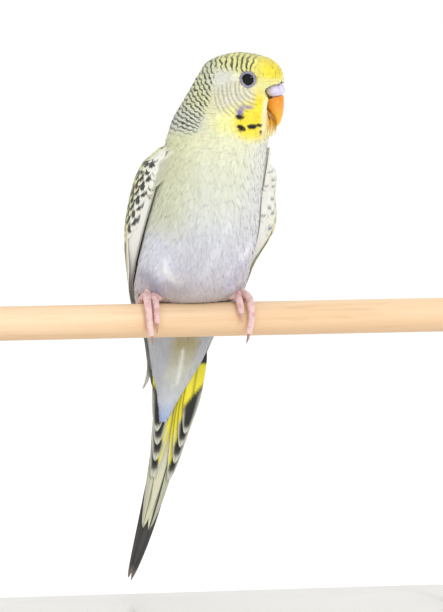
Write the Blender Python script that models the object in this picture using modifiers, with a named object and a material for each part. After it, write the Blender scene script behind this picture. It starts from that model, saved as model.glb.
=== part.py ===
"""A budgerigar as a still, life-size model, gripping a short dowel that a plain stand holds.

The bird faces -Y with its head turned towards +X. The origin is the centre of the stand's underside.
Sizes are in millimetres from the middle of the dowel's axis, and an empty lifts everything to its height.
"""
import bpy
import bmesh
import numpy as np

MM = 0.001
GAP = 0.3

# Stand and perch
PERCH_RADIUS = 6.0
PERCH_LENGTH = 182.0
PERCH_CHAMFER = 0.7
BASE_SIZE = (190.0, 96.0, 8.0)
BASE_CORNER = 6.0
ROD_RADIUS = 2.5
ROD_X = 84.0
ROD_DEPTH = 4.0
TAIL_DROP = 97.4
TAIL_CLEARANCE = 5.0
PERCH_HEIGHT = TAIL_DROP + TAIL_CLEARANCE + BASE_SIZE[2]

# Body: height, centre x, half width, front y, back y
BODY = np.array([
    (-40, -12.4, 4.6, 27.0, 37.0), (-28, -11.6, 7.2, 20.5, 34.0), (-16, -11.0, 9.6, 13.5, 31.5),
    (-6, -10.2, 12.5, 8.5, 29.5), (3, -9.6, 17.2, 2.0, 28.5), (10, -9.3, 19.6, -8.5, 27.0),
    (18, -8.8, 19.9, -16.0, 25.0), (28, -7.6, 19.9, -21.5, 22.0), (42, -6.0, 18.9, -24.5, 18.0),
    (54, -4.3, 18.2, -24.3, 14.5), (63, -2.9, 17.9, -22.8, 11.5), (71, -1.6, 16.6, -20.5, 8.5),
    (79, -0.2, 13.2, -17.5, 6.0), (87, 1.2, 8.0, -13.5, 2.0)], float)
NECK_LOW = 58.5
NECK_HIGH = 66.5
TAIL_TOP = -12.0
PERCH_ROOM = PERCH_RADIUS + 0.8

# Head: centre, way it faces, and radii forward, back, to the side, up and down
HEAD = np.array([5.65, -9.0, 82.7])
HEAD_TURN = np.radians(62.0)
HEAD_PITCH = np.radians(6.0)
HEAD_FRONT, HEAD_BACK, HEAD_SIDE, HEAD_UP, HEAD_DOWN = 14.4, 15.2, 11.9, 11.8, 15.5
HEAD_BLEND = 6.0
CROWN_HEIGHT = 86.5
CROWN_COLUMNS = 36
FACE_NOTCH = np.array([15.5, 0.0, -4.5])
FACE_NOTCH_RADII = np.array([5.8, 8.5, 7.0])

# Bill, cere and eyes, in the head's own directions: forward, to the bird's right, up
CERE = np.array([11.8, 0.0, -0.55])
CERE_RADII = np.array([3.1, 3.3, 2.35])
NOSTRIL = np.array([13.2, 1.75, 1.35])
NOSTRIL_RADIUS = 0.55
UPPER_BILL = ((11.4, -3.4, 3.6, 3.3), (12.2, -5.4, 3.15, 3.1), (13.1, -7.6, 2.3, 2.6),
              (13.45, -9.8, 1.4, 1.8), (13.1, -11.7, 0.85, 1.05), (12.3, -13.3, 0.3, 0.35))
LOWER_BILL = ((8.4, -8.2, 1.7, 2.4), (10.4, -8.9, 1.45, 2.3), (11.6, -9.3, 0.9, 1.7), (12.1, -9.4, 0.4, 0.9))
EYE = np.array([4.3, 8.85, 2.75])
EYE_RADIUS = 3.0
LID_RING = 2.55
LID_RADIUS = 0.55
LID_STANDOFF = 2.85

# Wings: height, how far the outer face stands off the body, angle of the front edge
WING = np.array([
    (-28, 1.9, -45), (-12, 2.1, -24), (0, 2.6, -21), (8.7, 3.4, -18), (17, 4.8, -13), (24, 6.5, -8),
    (35, 8.0, -2), (44, 8.1, 3), (51, 7.3, 8), (56, 5.3, 12), (60, 2.2, 15)], float)
WING_TOP = 59.5
WING_TIP = -28.0
WING_CLEARANCE = 0.55
WING_MIDLINE = 0.8
WING_CORE_END = 3.0
COVER = 1.2
PRIMARY_TIPS = ((-27.0, -26.0), (-27.5, -52.0), (-25.0, -60.0), (-19.0, -66.0), (-13.0, -70.0), (-7.0, -74.0))
LOOSE_FEATHER = 3.4
SECONDARIES = 5
# Coverts, greater ones first: count, root height, length, half width, angle of the first and last
COVERT_TIERS = ((6, 37.0, 17.0, 3.4, -17.0, -62.0), (5, 46.0, 13.5, 3.5, -10.0, -60.0),
                (4, 55.4, 12.5, 3.6, -3.0, -48.0))

# Tail: root and tips of the six pairs, longest first, and how far each pair stands out sideways
TAIL_TIPS = (-97.4, -80.0, -61.5, -55.5, -50.0, -44.5)
TAIL_SPREAD = (0.9, 1.9, 3.0, 3.8, 4.6, 5.3)
TAIL_HALF_WIDTHS = (3.3, 3.3, 3.2, 3.1, 3.0, 2.8)
TAIL_ROOT = -22.0
VANE = 0.55

# Feet: x of each foot, radii of toes and tarsus, and the belly's rooms for them: y, z and three radii
FOOT_X = {"right": -26.0, "left": 7.4}
TOE_RADIUS = 1.35
TOE_TIP_RADIUS = 0.85
TARSUS_RADIUS = 1.7
TOE_RINGS = 8
ROOM_IN_FRONT = ((-2.0, 8.0), (5.0, 9.0, 4.5))
ROOM_BEHIND = ((6.2, 3.6), (7.4, 5.2, 8.0))
ROOM_BEHIND_INWARD = 1.6


def clear_scene():
    for obj in list(bpy.data.objects):
        bpy.data.objects.remove(obj, do_unlink=True)


def new_collection(name):
    collection = bpy.data.collections.new(name)
    bpy.context.scene.collection.children.link(collection)
    return collection


def finish(name, colour, roughness, metallic=0.0):
    """One Principled material."""
    material = bpy.data.materials.new(name)
    material.use_nodes = True
    shader = material.node_tree.nodes["Principled BSDF"]
    shader.inputs["Base Color"].default_value = (*colour, 1.0)
    shader.inputs["Roughness"].default_value = roughness
    shader.inputs["Metallic"].default_value = metallic
    return material


def curve_through(x, stations, column):
    """A smooth value read from the stations, whose first column is the height."""
    heights = stations[:, 0]
    values = stations[:, column]
    slopes = np.gradient(values, heights)
    i = np.clip(np.searchsorted(heights, x) - 1, 0, len(heights) - 2)
    step = heights[i + 1] - heights[i]
    t = np.clip((x - heights[i]) / step, 0, 1)
    ease = t * t * (3 - 2 * t)
    rise = t * (1 - t) ** 2 * step * slopes[i]
    fall = t * t * (t - 1) * step * slopes[i + 1]
    return values[i] * (1 - ease) + values[i + 1] * ease + rise + fall


def soft_max(a, b, blend):
    mix = np.clip(0.5 - 0.5 * (b - a) / blend, 0, 1)
    return b * (1 - mix) + a * mix + blend * mix * (1 - mix)


def head_axes():
    """Directions forward, to the bird's right and up, for the turned head."""
    flat = np.array([np.sin(HEAD_TURN), -np.cos(HEAD_TURN), 0.0])
    forward = flat * np.cos(HEAD_PITCH) - np.array([0, 0, np.sin(HEAD_PITCH)])
    right = np.cross(flat, (0, 0, 1.0))
    return np.array([forward, right, np.cross(right, forward)])


HEAD_AXES = head_axes()


def head_point(local):
    return HEAD + np.asarray(local, float) @ HEAD_AXES


def body_section(z):
    """Centre x and y, half width, and depths in front of and behind the centre."""
    front = curve_through(z, BODY, 3)
    back = curve_through(z, BODY, 4)
    centre_y = 0.475 * front + 0.525 * back
    return curve_through(z, BODY, 1), centre_y, curve_through(z, BODY, 2), centre_y - front, back - centre_y


def torso_field(p):
    x, y, width, front, back = body_section(p[..., 2])
    across = p[..., 0] - x
    along = p[..., 1] - y
    depth = np.where(along < 0, front, back)
    ratio = np.sqrt((across / width) ** 2 + (along / depth) ** 2) + 1e-9
    over = p[..., 2] - BODY[-1, 0] - 2
    return np.maximum((ratio - 1) * np.minimum(width, depth), over)


def head_field(p):
    """An egg with squarish sides, hollowed in front for the bill."""
    local = (p - HEAD) @ HEAD_AXES.T
    forward, side, up = local[..., 0], local[..., 1], local[..., 2]
    power = 2.45 + 0.35 * np.tanh(forward / 5)
    length = np.where(forward > 0, HEAD_FRONT, HEAD_BACK)
    height = np.where(up > 0, HEAD_UP, HEAD_DOWN)
    total = np.abs(forward / length) ** power + np.abs(side / HEAD_SIDE) ** power
    egg = ((total + np.abs(up / height) ** power) ** (1 / power) - 1) * HEAD_SIDE
    notch = np.linalg.norm((local - FACE_NOTCH) / FACE_NOTCH_RADII, axis=-1)
    return soft_max(egg, (1 - notch) * FACE_NOTCH_RADII[0], 1.5)


def body_field(p):
    """Below zero inside the bird: torso and head blended, with room for the perch and the feet."""
    torso, head = torso_field(p), head_field(p)
    field = -soft_max(-torso, -head, HEAD_BLEND)
    for name, x in FOOT_X.items():
        inward = ROOM_BEHIND_INWARD if name == "right" else -ROOM_BEHIND_INWARD
        for sideways, (middle, radii) in ((0, ROOM_IN_FRONT), (inward, ROOM_BEHIND)):
            ratio = np.linalg.norm((p - (x + sideways, *middle)) / radii, axis=-1)
            field = soft_max(field, (1 - ratio) * min(radii), 1.2)
    return np.maximum(field, PERCH_ROOM - np.hypot(p[..., 1], p[..., 2]))


def body_rays(starts, directions):
    """How far each ray runs from inside the body to its surface."""
    distance = np.zeros(starts.shape[:-1])
    running = np.ones_like(distance, bool)
    for _ in range(80):
        inside = body_field(starts + directions * (distance + 0.5)[..., None]) < 0
        running &= inside
        distance = np.where(running, distance + 0.5, distance)
    step = 0.25
    for _ in range(12):
        inside = body_field(starts + directions * (distance + step)[..., None]) < 0
        distance = np.where(inside, distance + step, distance)
        step /= 2
    return starts + directions * distance[..., None]


def spine(z):
    """Centre of the body at each height, moving to the middle of the head above the neck."""
    x, y, *_ = body_section(z)
    low = np.stack([x, y, z], -1)
    high = np.stack([np.full_like(z, HEAD[0]), np.full_like(z, HEAD[1]), z], -1)
    t = np.clip((z - 56) / 16, 0, 1)[..., None]
    ease = t * t * (3 - 2 * t)
    return low * (1 - ease) + high * ease


def body_rings(heights, columns):
    angle = np.arange(columns) * 2 * np.pi / columns
    starts = np.repeat(spine(np.asarray(heights, float))[:, None], columns, 1)
    directions = np.stack([np.cos(angle), np.sin(angle), np.zeros(columns)], -1)
    return body_rays(starts, np.broadcast_to(directions, starts.shape))


def dome_rings(height, columns, rows):
    """Rings over the crown, from rays that rise from one point, and the pole above it."""
    angle = np.arange(columns) * 2 * np.pi / columns
    lift = np.linspace(0, np.pi / 2, rows + 1)[1:]
    centre = spine(np.array([height]))[0]
    directions = np.stack([
        np.outer(np.cos(lift), np.cos(angle)), np.outer(np.cos(lift), np.sin(angle)),
        np.repeat(np.sin(lift)[:, None], columns, 1)], -1)
    points = body_rays(np.broadcast_to(centre, directions.shape), directions)
    return list(points[:-1]), points[-1, 0]


def loft(rings, pole_low=None, pole_high=None):
    """Points and faces of a closed skin over rings that turn anticlockwise about the way they climb."""
    columns = len(rings[0])
    points = [p for ring in rings for p in ring]
    faces = []
    for row in range(len(rings) - 1):
        for i in range(columns):
            j = (i + 1) % columns
            a, b = row * columns, (row + 1) * columns
            faces.append((a + i, a + j, b + j, b + i))
    last = (len(rings) - 1) * columns
    if pole_low is None:
        faces.append(tuple(range(columns))[::-1])
    else:
        points.append(pole_low)
        faces += [((i + 1) % columns, i, len(points) - 1) for i in range(columns)]
    if pole_high is None:
        faces.append(tuple(range(last, last + columns)))
    else:
        points.append(pole_high)
        faces += [(last + i, last + (i + 1) % columns, len(points) - 1) for i in range(columns)]
    return points, faces


def add_node(name, points, faces, material, collection=None):
    mesh = bpy.data.meshes.new(name)
    mesh.from_pydata([tuple(np.asarray(p, float) * MM) for p in points], [], faces)
    mesh.materials.append(material)
    mesh.shade_smooth()
    obj = bpy.data.objects.new(name, mesh)
    (collection or PARTS).objects.link(obj)
    obj.parent = LIFT
    return obj


def faces_out(obj):
    """Turns every face outwards."""
    shape = bmesh.new()
    shape.from_mesh(obj.data)
    bmesh.ops.recalc_face_normals(shape, faces=shape.faces)
    shape.to_mesh(obj.data)
    shape.free()


def cut(obj, cutter, operation="DIFFERENCE"):
    """A Boolean kept on the object, with the other piece hidden."""
    modifier = obj.modifiers.new("cut by " + cutter.name, "BOOLEAN")
    modifier.operation = operation
    modifier.object = cutter
    cutter.hide_render = True
    cutter.display_type = "WIRE"


def ball(name, centre, radii, axes, material, collection, segments=20, rings=12):
    """An ellipsoid whose own directions are the rows of axes."""
    shape = bmesh.new()
    bmesh.ops.create_uvsphere(shape, u_segments=segments, v_segments=rings, radius=1.0)
    points = np.array([v.co for v in shape.verts]) * radii @ axes + centre
    faces = [tuple(v.index for v in face.verts) for face in shape.faces]
    shape.free()
    obj = add_node(name, points, faces, material, collection)
    faces_out(obj)
    return obj


def swept(name, path, radii, material, collection, side=None, sides=8):
    """Elliptic sections along a path. Each radius is a pair: in the bend's plane, and across it."""
    path = np.asarray(path, float)
    radii = np.asarray(radii, float)
    way = np.gradient(path, axis=0)
    way /= np.linalg.norm(way, axis=1, keepdims=True)
    side = np.array([1.0, 0, 0]) if side is None else side
    rings = []
    for centre, direction, (deep, wide) in zip(path, way, radii):
        across = side - direction * (side @ direction)
        across /= np.linalg.norm(across)
        other = np.cross(direction, across)
        angle = np.arange(sides) * 2 * np.pi / sides
        ring = centre + np.outer(np.cos(angle) * wide, across) + np.outer(np.sin(angle) * deep, other)
        rings.append(ring)
    points, faces = loft(rings)
    obj = add_node(name, points, faces, material, collection)
    faces_out(obj)
    return obj


def smooth_path(points, count):
    """Points read evenly from a smooth curve through a few."""
    points = np.asarray(points, float)
    known = np.arange(len(points), dtype=float)
    table = np.column_stack([known, points])
    t = np.linspace(0, len(points) - 1, count)
    return np.stack([curve_through(t, table, i + 1) for i in range(points.shape[1])], -1)


def body_part(name, low, high, rows, columns, material):
    points, faces = loft(list(body_rings(np.linspace(low, high, rows), columns)))
    return add_node(name, points, faces, material)


def make_body():
    """Torso and neck, parted by level cuts. The dowel's room is cut clean out of the torso."""
    half = GAP / 2
    heights = (TAIL_TOP + half, NECK_LOW - half)
    torso = body_part("torso", *heights, 22, 40, finish("body plumage", (0.62, 0.62, 0.55), 0.85))
    material = finish("neck plumage", (0.75, 0.74, 0.5), 0.85)
    body_part("neck", NECK_LOW + half, NECK_HIGH - half, 4, 40, material)
    room = PERCH_RADIUS + 2 * GAP
    cut(torso, cylinder("perch room", (0, 0, 0), room, PERCH_LENGTH, "X", material, CUTTERS, 24))
    return torso


def make_head():
    """The head with its lids, hollowed for the eyes, cere and bill."""
    material = finish("head plumage", (0.85, 0.78, 0.25), 0.85)
    rings = list(body_rings(np.linspace(NECK_HIGH + GAP / 2, CROWN_HEIGHT, 10), CROWN_COLUMNS))
    dome, pole = dome_rings(CROWN_HEIGHT, CROWN_COLUMNS, 5)
    points, faces = loft(rings + dome, pole_high=pole)
    head = add_node("head", points, faces, material)
    for side in (1, -1):
        centre = EYE * (1, side, 1)
        lid = lid_ring("lid cutter", centre, side, material)
        cut(head, lid, "UNION")
        socket = ball("eye socket", head_point(centre), [EYE_RADIUS + GAP] * 3, np.eye(3), material, CUTTERS, 14, 8)
        cut(head, socket)
    cut(head, ball("cere seat", head_point(CERE), CERE_RADII + GAP, HEAD_AXES, material, CUTTERS, 16, 10))
    cut(head, bill("upper bill seat", UPPER_BILL, material, CUTTERS, GAP))
    cut(head, bill("lower bill seat", LOWER_BILL, material, CUTTERS, GAP))
    return head


def lid_ring(name, centre, side, material):
    """A ring of bare skin round the eye, facing outwards."""
    turns, sides = 16, 6
    around = np.arange(turns) * 2 * np.pi / turns
    tube = np.arange(sides) * 2 * np.pi / sides
    radius = LID_RING + LID_RADIUS * np.cos(tube)[None]
    forward = centre[0] + np.cos(around)[:, None] * radius
    up = centre[2] + np.sin(around)[:, None] * radius
    out = np.broadcast_to(centre[1] + side * (LID_STANDOFF + LID_RADIUS * np.sin(tube)), forward.shape)
    points = head_point(np.stack([forward, out, up], -1).reshape(-1, 3))
    faces = []
    for i in range(turns):
        for j in range(sides):
            a, b = i * sides, (i + 1) % turns * sides
            k = (j + 1) % sides
            faces.append((a + j, b + j, b + k, a + k))
    ring = add_node(name, points, faces, material, CUTTERS)
    faces_out(ring)
    return ring


def bill(name, stations, material, collection, grow=0.0):
    """One half of the bill, swept through stations of forward, up, half depth and half width."""
    table = smooth_path(stations, 8)
    path = head_point(np.column_stack([table[:, 0], np.zeros(len(table)), table[:, 1]]))
    if grow:
        path[0] += (path[0] - path[1]) * 0.15
        path[-1] += (path[-1] - path[-2]) / np.linalg.norm(path[-1] - path[-2]) * grow
    return swept(name, path, table[:, 2:] + grow, material, collection, HEAD_AXES[1], 12)


def make_face():
    """Eyes, cere with its nostrils, and the two halves of the bill."""
    eye_finish = finish("eye", (0.01, 0.01, 0.012), 0.05)
    for name, side in (("right", 1), ("left", -1)):
        centre = head_point(EYE * (1, side, 1))
        ball("eye_" + name, centre, [EYE_RADIUS] * 3, np.eye(3), eye_finish, PARTS, 14, 8)
    cere_finish = finish("cere skin", (0.62, 0.55, 0.68), 0.5)
    horn = finish("bill horn", (0.85, 0.42, 0.06), 0.35)
    cere = ball("cere", head_point(CERE), CERE_RADII, HEAD_AXES, cere_finish, PARTS, 16, 10)
    cut(cere, bill("bill seat", UPPER_BILL, cere_finish, CUTTERS, GAP))
    for side in (1, -1):
        centre = head_point(NOSTRIL * (1, side, 1))
        cut(cere, ball("nostril cutter", centre, [NOSTRIL_RADIUS] * 3, np.eye(3), cere_finish, CUTTERS, 8, 6))
    upper = bill("bill_upper", UPPER_BILL, horn, PARTS)
    lower = bill("bill_lower", LOWER_BILL, finish("lower bill horn", (0.5, 0.3, 0.15), 0.45), PARTS)
    cut(lower, bill("mouth line", UPPER_BILL, horn, CUTTERS, GAP))
    return upper


def wing_point(side, z, degrees, height):
    """A point over the body at a height, an angle from straight sideways (front is plus) and a standoff."""
    z = np.asarray(z, float)
    x, y, width, front, back = body_section(z)
    angle = np.radians(degrees)
    depth = np.where(angle > 0, front, back)
    radius = 1 / np.sqrt((np.cos(angle) / width) ** 2 + (np.sin(angle) / depth) ** 2) + height
    out = np.maximum(radius * np.cos(angle), WING_MIDLINE)
    return np.stack([x - side * out, y - radius * np.sin(angle), z + 0 * radius], -1)


def wing_back_edge(z):
    """Angle of the wing's rear edge: close to the midline low down, further out at the shoulder."""
    return -87 + 22 * np.clip((z - 12) / 40, 0, 1)


def wing_shell(side, low, high, rows, columns, cover):
    """Rings of a crescent section from the front edge to the back edge, closed at both ends."""
    heights = np.linspace(low, high, rows)
    t = np.linspace(0, 1, columns)
    rings = []
    for z in heights:
        front_edge = curve_through(z, WING, 2)
        angle = front_edge + (wing_back_edge(z) - front_edge) * t
        top = np.sqrt(np.clip((WING_TOP + 0.3 - z) / 7.0, 0, 1))
        tip = np.sqrt(np.clip((z - WING_TIP + 0.5) / 6.0, 0, 1))
        slope = np.where(t < 0.3, 1.0, 1.0 - 0.6 * (t - 0.3) / 0.7)
        outer = (curve_through(z, WING, 1) - cover) * slope
        thick = np.maximum(outer - WING_CLEARANCE, 0.5) * top * tip
        bulge = np.clip(1 - np.abs(2 * t - 1) ** 4, 0, 1) ** 0.6
        inside = WING_CLEARANCE + 0.12 * thick * (1 - bulge)
        inner = wing_point(side, z, angle, inside)
        outer_points = wing_point(side, z, angle[1:-1], (inside + 0.25 + thick * bulge)[1:-1])
        ring = np.concatenate([inner, outer_points[::-1]])
        rings.append(ring)
    return rings


def vane(name, place, length_steps, half_width, material, collection):
    """One feather: a curved leaf, triangulated alike on both faces and thinner towards its edge and tip."""
    rows = np.linspace(0, 1, length_steps + 1) ** 0.85
    outline = np.clip(0.6 + 1.6 * rows, 0, 1) * np.sqrt(np.clip(1 - ((rows - 0.62) / 0.4) ** 2 * (rows > 0.62), 0, 1))
    points = []
    for row, wide in zip(rows, np.maximum(outline, 0.16) * half_width):
        for across in (-1, 0, 1):
            points.append(place(row, across, wide))
    faces = []
    for row in range(length_steps):
        for i in range(2):
            a, b = row * 3 + i, row * 3 + i + 3
            faces += [(a, a + 1, b), (a + 1, b + 1, b)]
    leaf = add_node(name, points, faces, material, collection)
    weights = leaf.vertex_groups.new(name="thickness")
    for index, _ in enumerate(points):
        edge = 0.75 if index % 3 != 1 else 1.0
        tip = 0.6 if index // 3 == length_steps else 1.0
        weights.add([index], edge * tip, "REPLACE")
    solid = leaf.modifiers.new("thickness", "SOLIDIFY")
    solid.thickness = VANE * MM
    solid.offset = 0
    solid.vertex_group = "thickness"
    solid.thickness_vertex_group = 0.2


def wing_vane(name, side, root, tip, half_width, heights, tilt, flare, material, collection, steps):
    """A wing feather between two (height, angle) places. Heights are its standoff at the root and the tip."""
    def place(along, across, wide):
        z = root[0] + (tip[0] - root[0]) * along
        angle = root[1] + (tip[1] - root[1]) * along ** 1.3
        width = body_section(np.float64(z))[2] + 3.0
        angle += np.degrees(across * wide / width)
        height = heights[0] + (heights[1] - heights[0]) * along + tilt * across
        height += 0.5 * np.exp(-((z - 5) / 8) ** 2) + 0.12 * (1 - across * across)
        height += flare * max(0.0, (along - 0.8) / 0.2) ** 2
        over = max(float(curve_through(z, WING, 1)) - float(curve_through(tip[0], WING, 1)), 0.0)
        rise = (over - COVER) * (1 - along) if over > COVER else 0.0
        return wing_point(side, z, angle, np.float64(max(height + rise, WING_CLEARANCE + 0.35 + abs(tilt))))
    vane(name, place, steps, half_width, material, collection)


def wing_feathers(name, side, material, collection):
    """Primaries, secondaries, then the tiers of coverts, each tier over the roots of the one below."""
    for i, (tip_z, tip_angle) in enumerate(PRIMARY_TIPS):
        flare = LOOSE_FEATHER if i == 0 and side > 0 else 0.0
        root = (30.0 + i, -15.0 - 4.5 * i)
        heights = (1.0 + 0.15 * i, 0.95 + 0.1 * i)
        wing_vane(f"{name} primary {i}", side, root, (tip_z, tip_angle), 3.4, heights, 0.22, flare,
                  material, collection, 6)
    for i in range(SECONDARIES):
        part = i / (SECONDARIES - 1)
        root = (29.0 + 10 * part, -24.0 - 42 * part)
        tip = (1.0 + 15 * part, -52.0 - 27 * part)
        wing_vane(f"{name} secondary {i}", side, root, tip, 3.7, (1.6, 1.75 + 0.1 * i), 0.25, 0.0,
                  material, collection, 4)
    for tier, (count, root_z, length, half_width, front, back) in enumerate(COVERT_TIERS):
        for i in range(count):
            part = i / (count - 1)
            z = root_z + 3.0 * part * (tier < 3) - 0.6 * (i % 2)
            angle = front + (back - front) * part
            low = z - length
            outer = float(curve_through(low, WING, 1)) * (0.88 + 0.12 * min(1.0, 3 * part) - 0.45 * part)
            root = (z, angle + 4)
            wing_vane(f"{name} covert {tier} {i}", side, root, (low, angle - 6), half_width,
                      (outer - 1.6, outer - 0.2), 0.3, 0.0, material, collection, 3)


def make_wing(name, side, material):
    """A core for the arm, with its feathers in tiers joined to it."""
    points, faces = loft(wing_shell(side, WING_CORE_END, WING_TOP, 13, 9, COVER))
    wing = add_node(name, points, faces, material)
    faces_out(wing)
    feathers = new_collection(name + " feathers")
    wing_feathers(name, side, material, feathers)
    join(wing, feathers)


def tail_axis(z):
    """The tail's middle line: straight back and down, swept a little to the bird's right."""
    drop = -11.4 - np.asarray(z, float)
    return np.stack([-10.3 - 0.015 * drop - 0.00161 * drop ** 2, 23.9 + 0.2310 * drop, -11.4 - drop], -1)


def make_tail():
    """A core of undertail coverts, and six pairs of feathers stacked with the longest on the back."""
    material = finish("tail plumage", (0.4, 0.45, 0.4), 0.8)
    rings = list(body_rings(np.linspace(-40, TAIL_TOP - GAP / 2, 7), 24))
    middle = rings[0].mean(axis=0)
    closing = [middle + (rings[0] - middle) * size + (0, 0, -drop) for size, drop in ((0.45, 2.6), (0.8, 1.4))]
    points, faces = loft(closing + rings, pole_low=middle - (0, 0, 3.0))
    tail = add_node("tail", points, faces, material)
    feathers = new_collection("tail feathers")
    for pair, (tip_z, spread, half_width) in enumerate(zip(TAIL_TIPS, TAIL_SPREAD, TAIL_HALF_WIDTHS)):
        for side in (1, -1):
            layer = 2.3 - 0.88 * pair - 0.22 * side

            def place(along, across, wide, tip_z=tip_z, spread=spread, side=side, layer=layer):
                z = TAIL_ROOT + (tip_z + 1.2 * (side > 0) - TAIL_ROOT) * along
                sideways = -side * spread * (0.35 + 0.65 * min(1.0, along * 1.3)) * (1 - 0.25 * along) + across * wide
                lift = layer * (1 - 0.35 * along) - 0.18 * across * side
                return tail_axis(z) + np.array([sideways, lift, 0.0])

            vane(f"tail {pair} {side}", place, 5 if pair < 2 else 4, half_width, material, feathers)
    join(tail, feathers)


TOES = {
    "outer_front": ((0.5, 2.0, 8.9), (-1.0, -3.2, 8.1), (-1.2, -6.9, 4.6), (-0.6, -8.0, 0.0), (0.3, -7.6, -4.6)),
    "inner_front": ((0.8, 2.0, 8.8), (1.5, -3.4, 7.6), (1.9, -6.9, 3.8), (1.9, -7.7, -0.4)),
    "inner_back": ((1.0, -0.5, 8.9), (3.2, 1.2, 8.0), (5.4, 5.0, 6.0), (6.0, 7.7, 1.8)),
    "outer_back": ((-0.5, -0.5, 8.9), (-2.6, 2.0, 8.1), (-3.6, 5.6, 5.6), (-3.8, 7.8, 1.4), (-3.4, 7.6, -2.6)),
}


def toe_paths(side):
    """Toe middle lines for one foot. On the left foot the inner front toe is drawn up short."""
    name = "right" if side > 0 else "left"
    for toe, points in TOES.items():
        path = np.array(points)
        if toe == "inner_front" and name == "left":
            path[1:, 1:] = ((-3.6, 7.5), (-6.4, 5.0), (-7.6, 2.4))
            path[:, 0] += 0.8
        path[:, 0] = FOOT_X[name] + side * path[:, 0]
        yield toe, smooth_path(path, TOE_RINGS)


def make_leg(name, side, torso):
    """Tarsus and four toes as one solid. The torso has a socket for the tarsus."""
    skin = finish(name + " skin", (0.8, 0.55, 0.55), 0.55)
    x = FOOT_X[name.split("_")[1]]
    shank = smooth_path(((x, 0.8, 8.8), (x + side * 0.8, 2.4, 11.4), (x + side * 2.6, 4.6, 15.0)), 5)
    leg = swept(name, shank, [(TARSUS_RADIUS, TARSUS_RADIUS)] * 5, skin, PARTS, sides=10)
    seat = shank.copy()
    seat[-1] += (shank[-1] - shank[-2]) / np.linalg.norm(shank[-1] - shank[-2]) * GAP
    room = TARSUS_RADIUS + GAP
    cut(torso, swept(name + " seat", seat, [(room, room)] * 5, skin, CUTTERS, sides=10))
    horn = finish(name + " claw horn", (0.55, 0.42, 0.35), 0.4)
    toes = new_collection(name + " toes")
    for toe, path in toe_paths(side):
        radii = np.linspace(TOE_RADIUS, TOE_TIP_RADIUS, TOE_RINGS)
        swept(name + " " + toe, path, np.column_stack([radii, radii]), skin, toes)
        way = (path[-1] - path[-2]) / np.linalg.norm(path[-1] - path[-2])
        inward = np.array([0, -path[-1][1], 0]) / abs(path[-1][1])
        start = path[-1] + way * GAP
        tip = start + way * 3.4 + inward * 1.0
        claw = smooth_path((start, start + way * 1.8 + inward * 0.1, tip), 5)
        wide = np.array([0.62, 0.55, 0.44, 0.28, 0.08])
        swept(f"claw_{name.split('_')[1]}_{toe}", claw, np.column_stack([wide, wide]), horn, PARTS, sides=6)
    join(leg, toes)


def join(obj, pieces):
    """Unites the collection's pieces with the object, and keeps the largest closed surface."""
    modifier = obj.modifiers.new("join", "BOOLEAN")
    modifier.operation = "UNION"
    modifier.operand_type = "COLLECTION"
    modifier.collection = pieces
    bpy.context.view_layer.update()
    graph = bpy.context.evaluated_depsgraph_get()
    mesh = bpy.data.meshes.new_from_object(obj.evaluated_get(graph))
    obj.modifiers.remove(modifier)
    obj.data = mesh
    for piece in list(pieces.objects):
        bpy.data.objects.remove(piece, do_unlink=True)
    bpy.data.collections.remove(pieces)
    keep_largest(mesh)


def keep_largest(mesh):
    """Keeps the largest set of faces that their edges link."""
    shape = bmesh.new()
    shape.from_mesh(mesh)
    left = set(shape.faces)
    groups = []
    while left:
        stack = [left.pop()]
        group = set(stack)
        while stack:
            for edge in stack.pop().edges:
                found = [face for face in edge.link_faces if face in left]
                left.difference_update(found)
                group.update(found)
                stack.extend(found)
        groups.append(group)
    largest = max(groups, key=len)
    loose = [face for face in shape.faces if face not in largest]
    bmesh.ops.delete(shape, geom=loose, context="FACES")
    shape.to_mesh(mesh)
    shape.free()


def cylinder(name, centre, radius, length, axis, material, collection, sides=32):
    """A cylinder along X or Z, as a primitive."""
    shape = bmesh.new()
    bmesh.ops.create_cone(
        shape, cap_ends=True, segments=sides, radius1=radius * MM, radius2=radius * MM, depth=length * MM)
    mesh = bpy.data.meshes.new(name)
    shape.to_mesh(mesh)
    shape.free()
    mesh.materials.append(material)
    mesh.shade_smooth()
    mesh.set_sharp_from_angle(angle=np.radians(40))
    obj = bpy.data.objects.new(name, mesh)
    collection.objects.link(obj)
    obj.parent = LIFT
    obj.location = np.asarray(centre, float) * MM
    obj.rotation_euler = (0, np.pi / 2, 0) if axis == "X" else (0, 0, 0)
    return obj


def bevel(obj, width, segments):
    modifier = obj.modifiers.new("rounded edges", "BEVEL")
    modifier.width = width * MM
    modifier.segments = segments
    modifier.limit_method = "ANGLE"
    modifier.angle_limit = np.radians(60)


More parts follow.
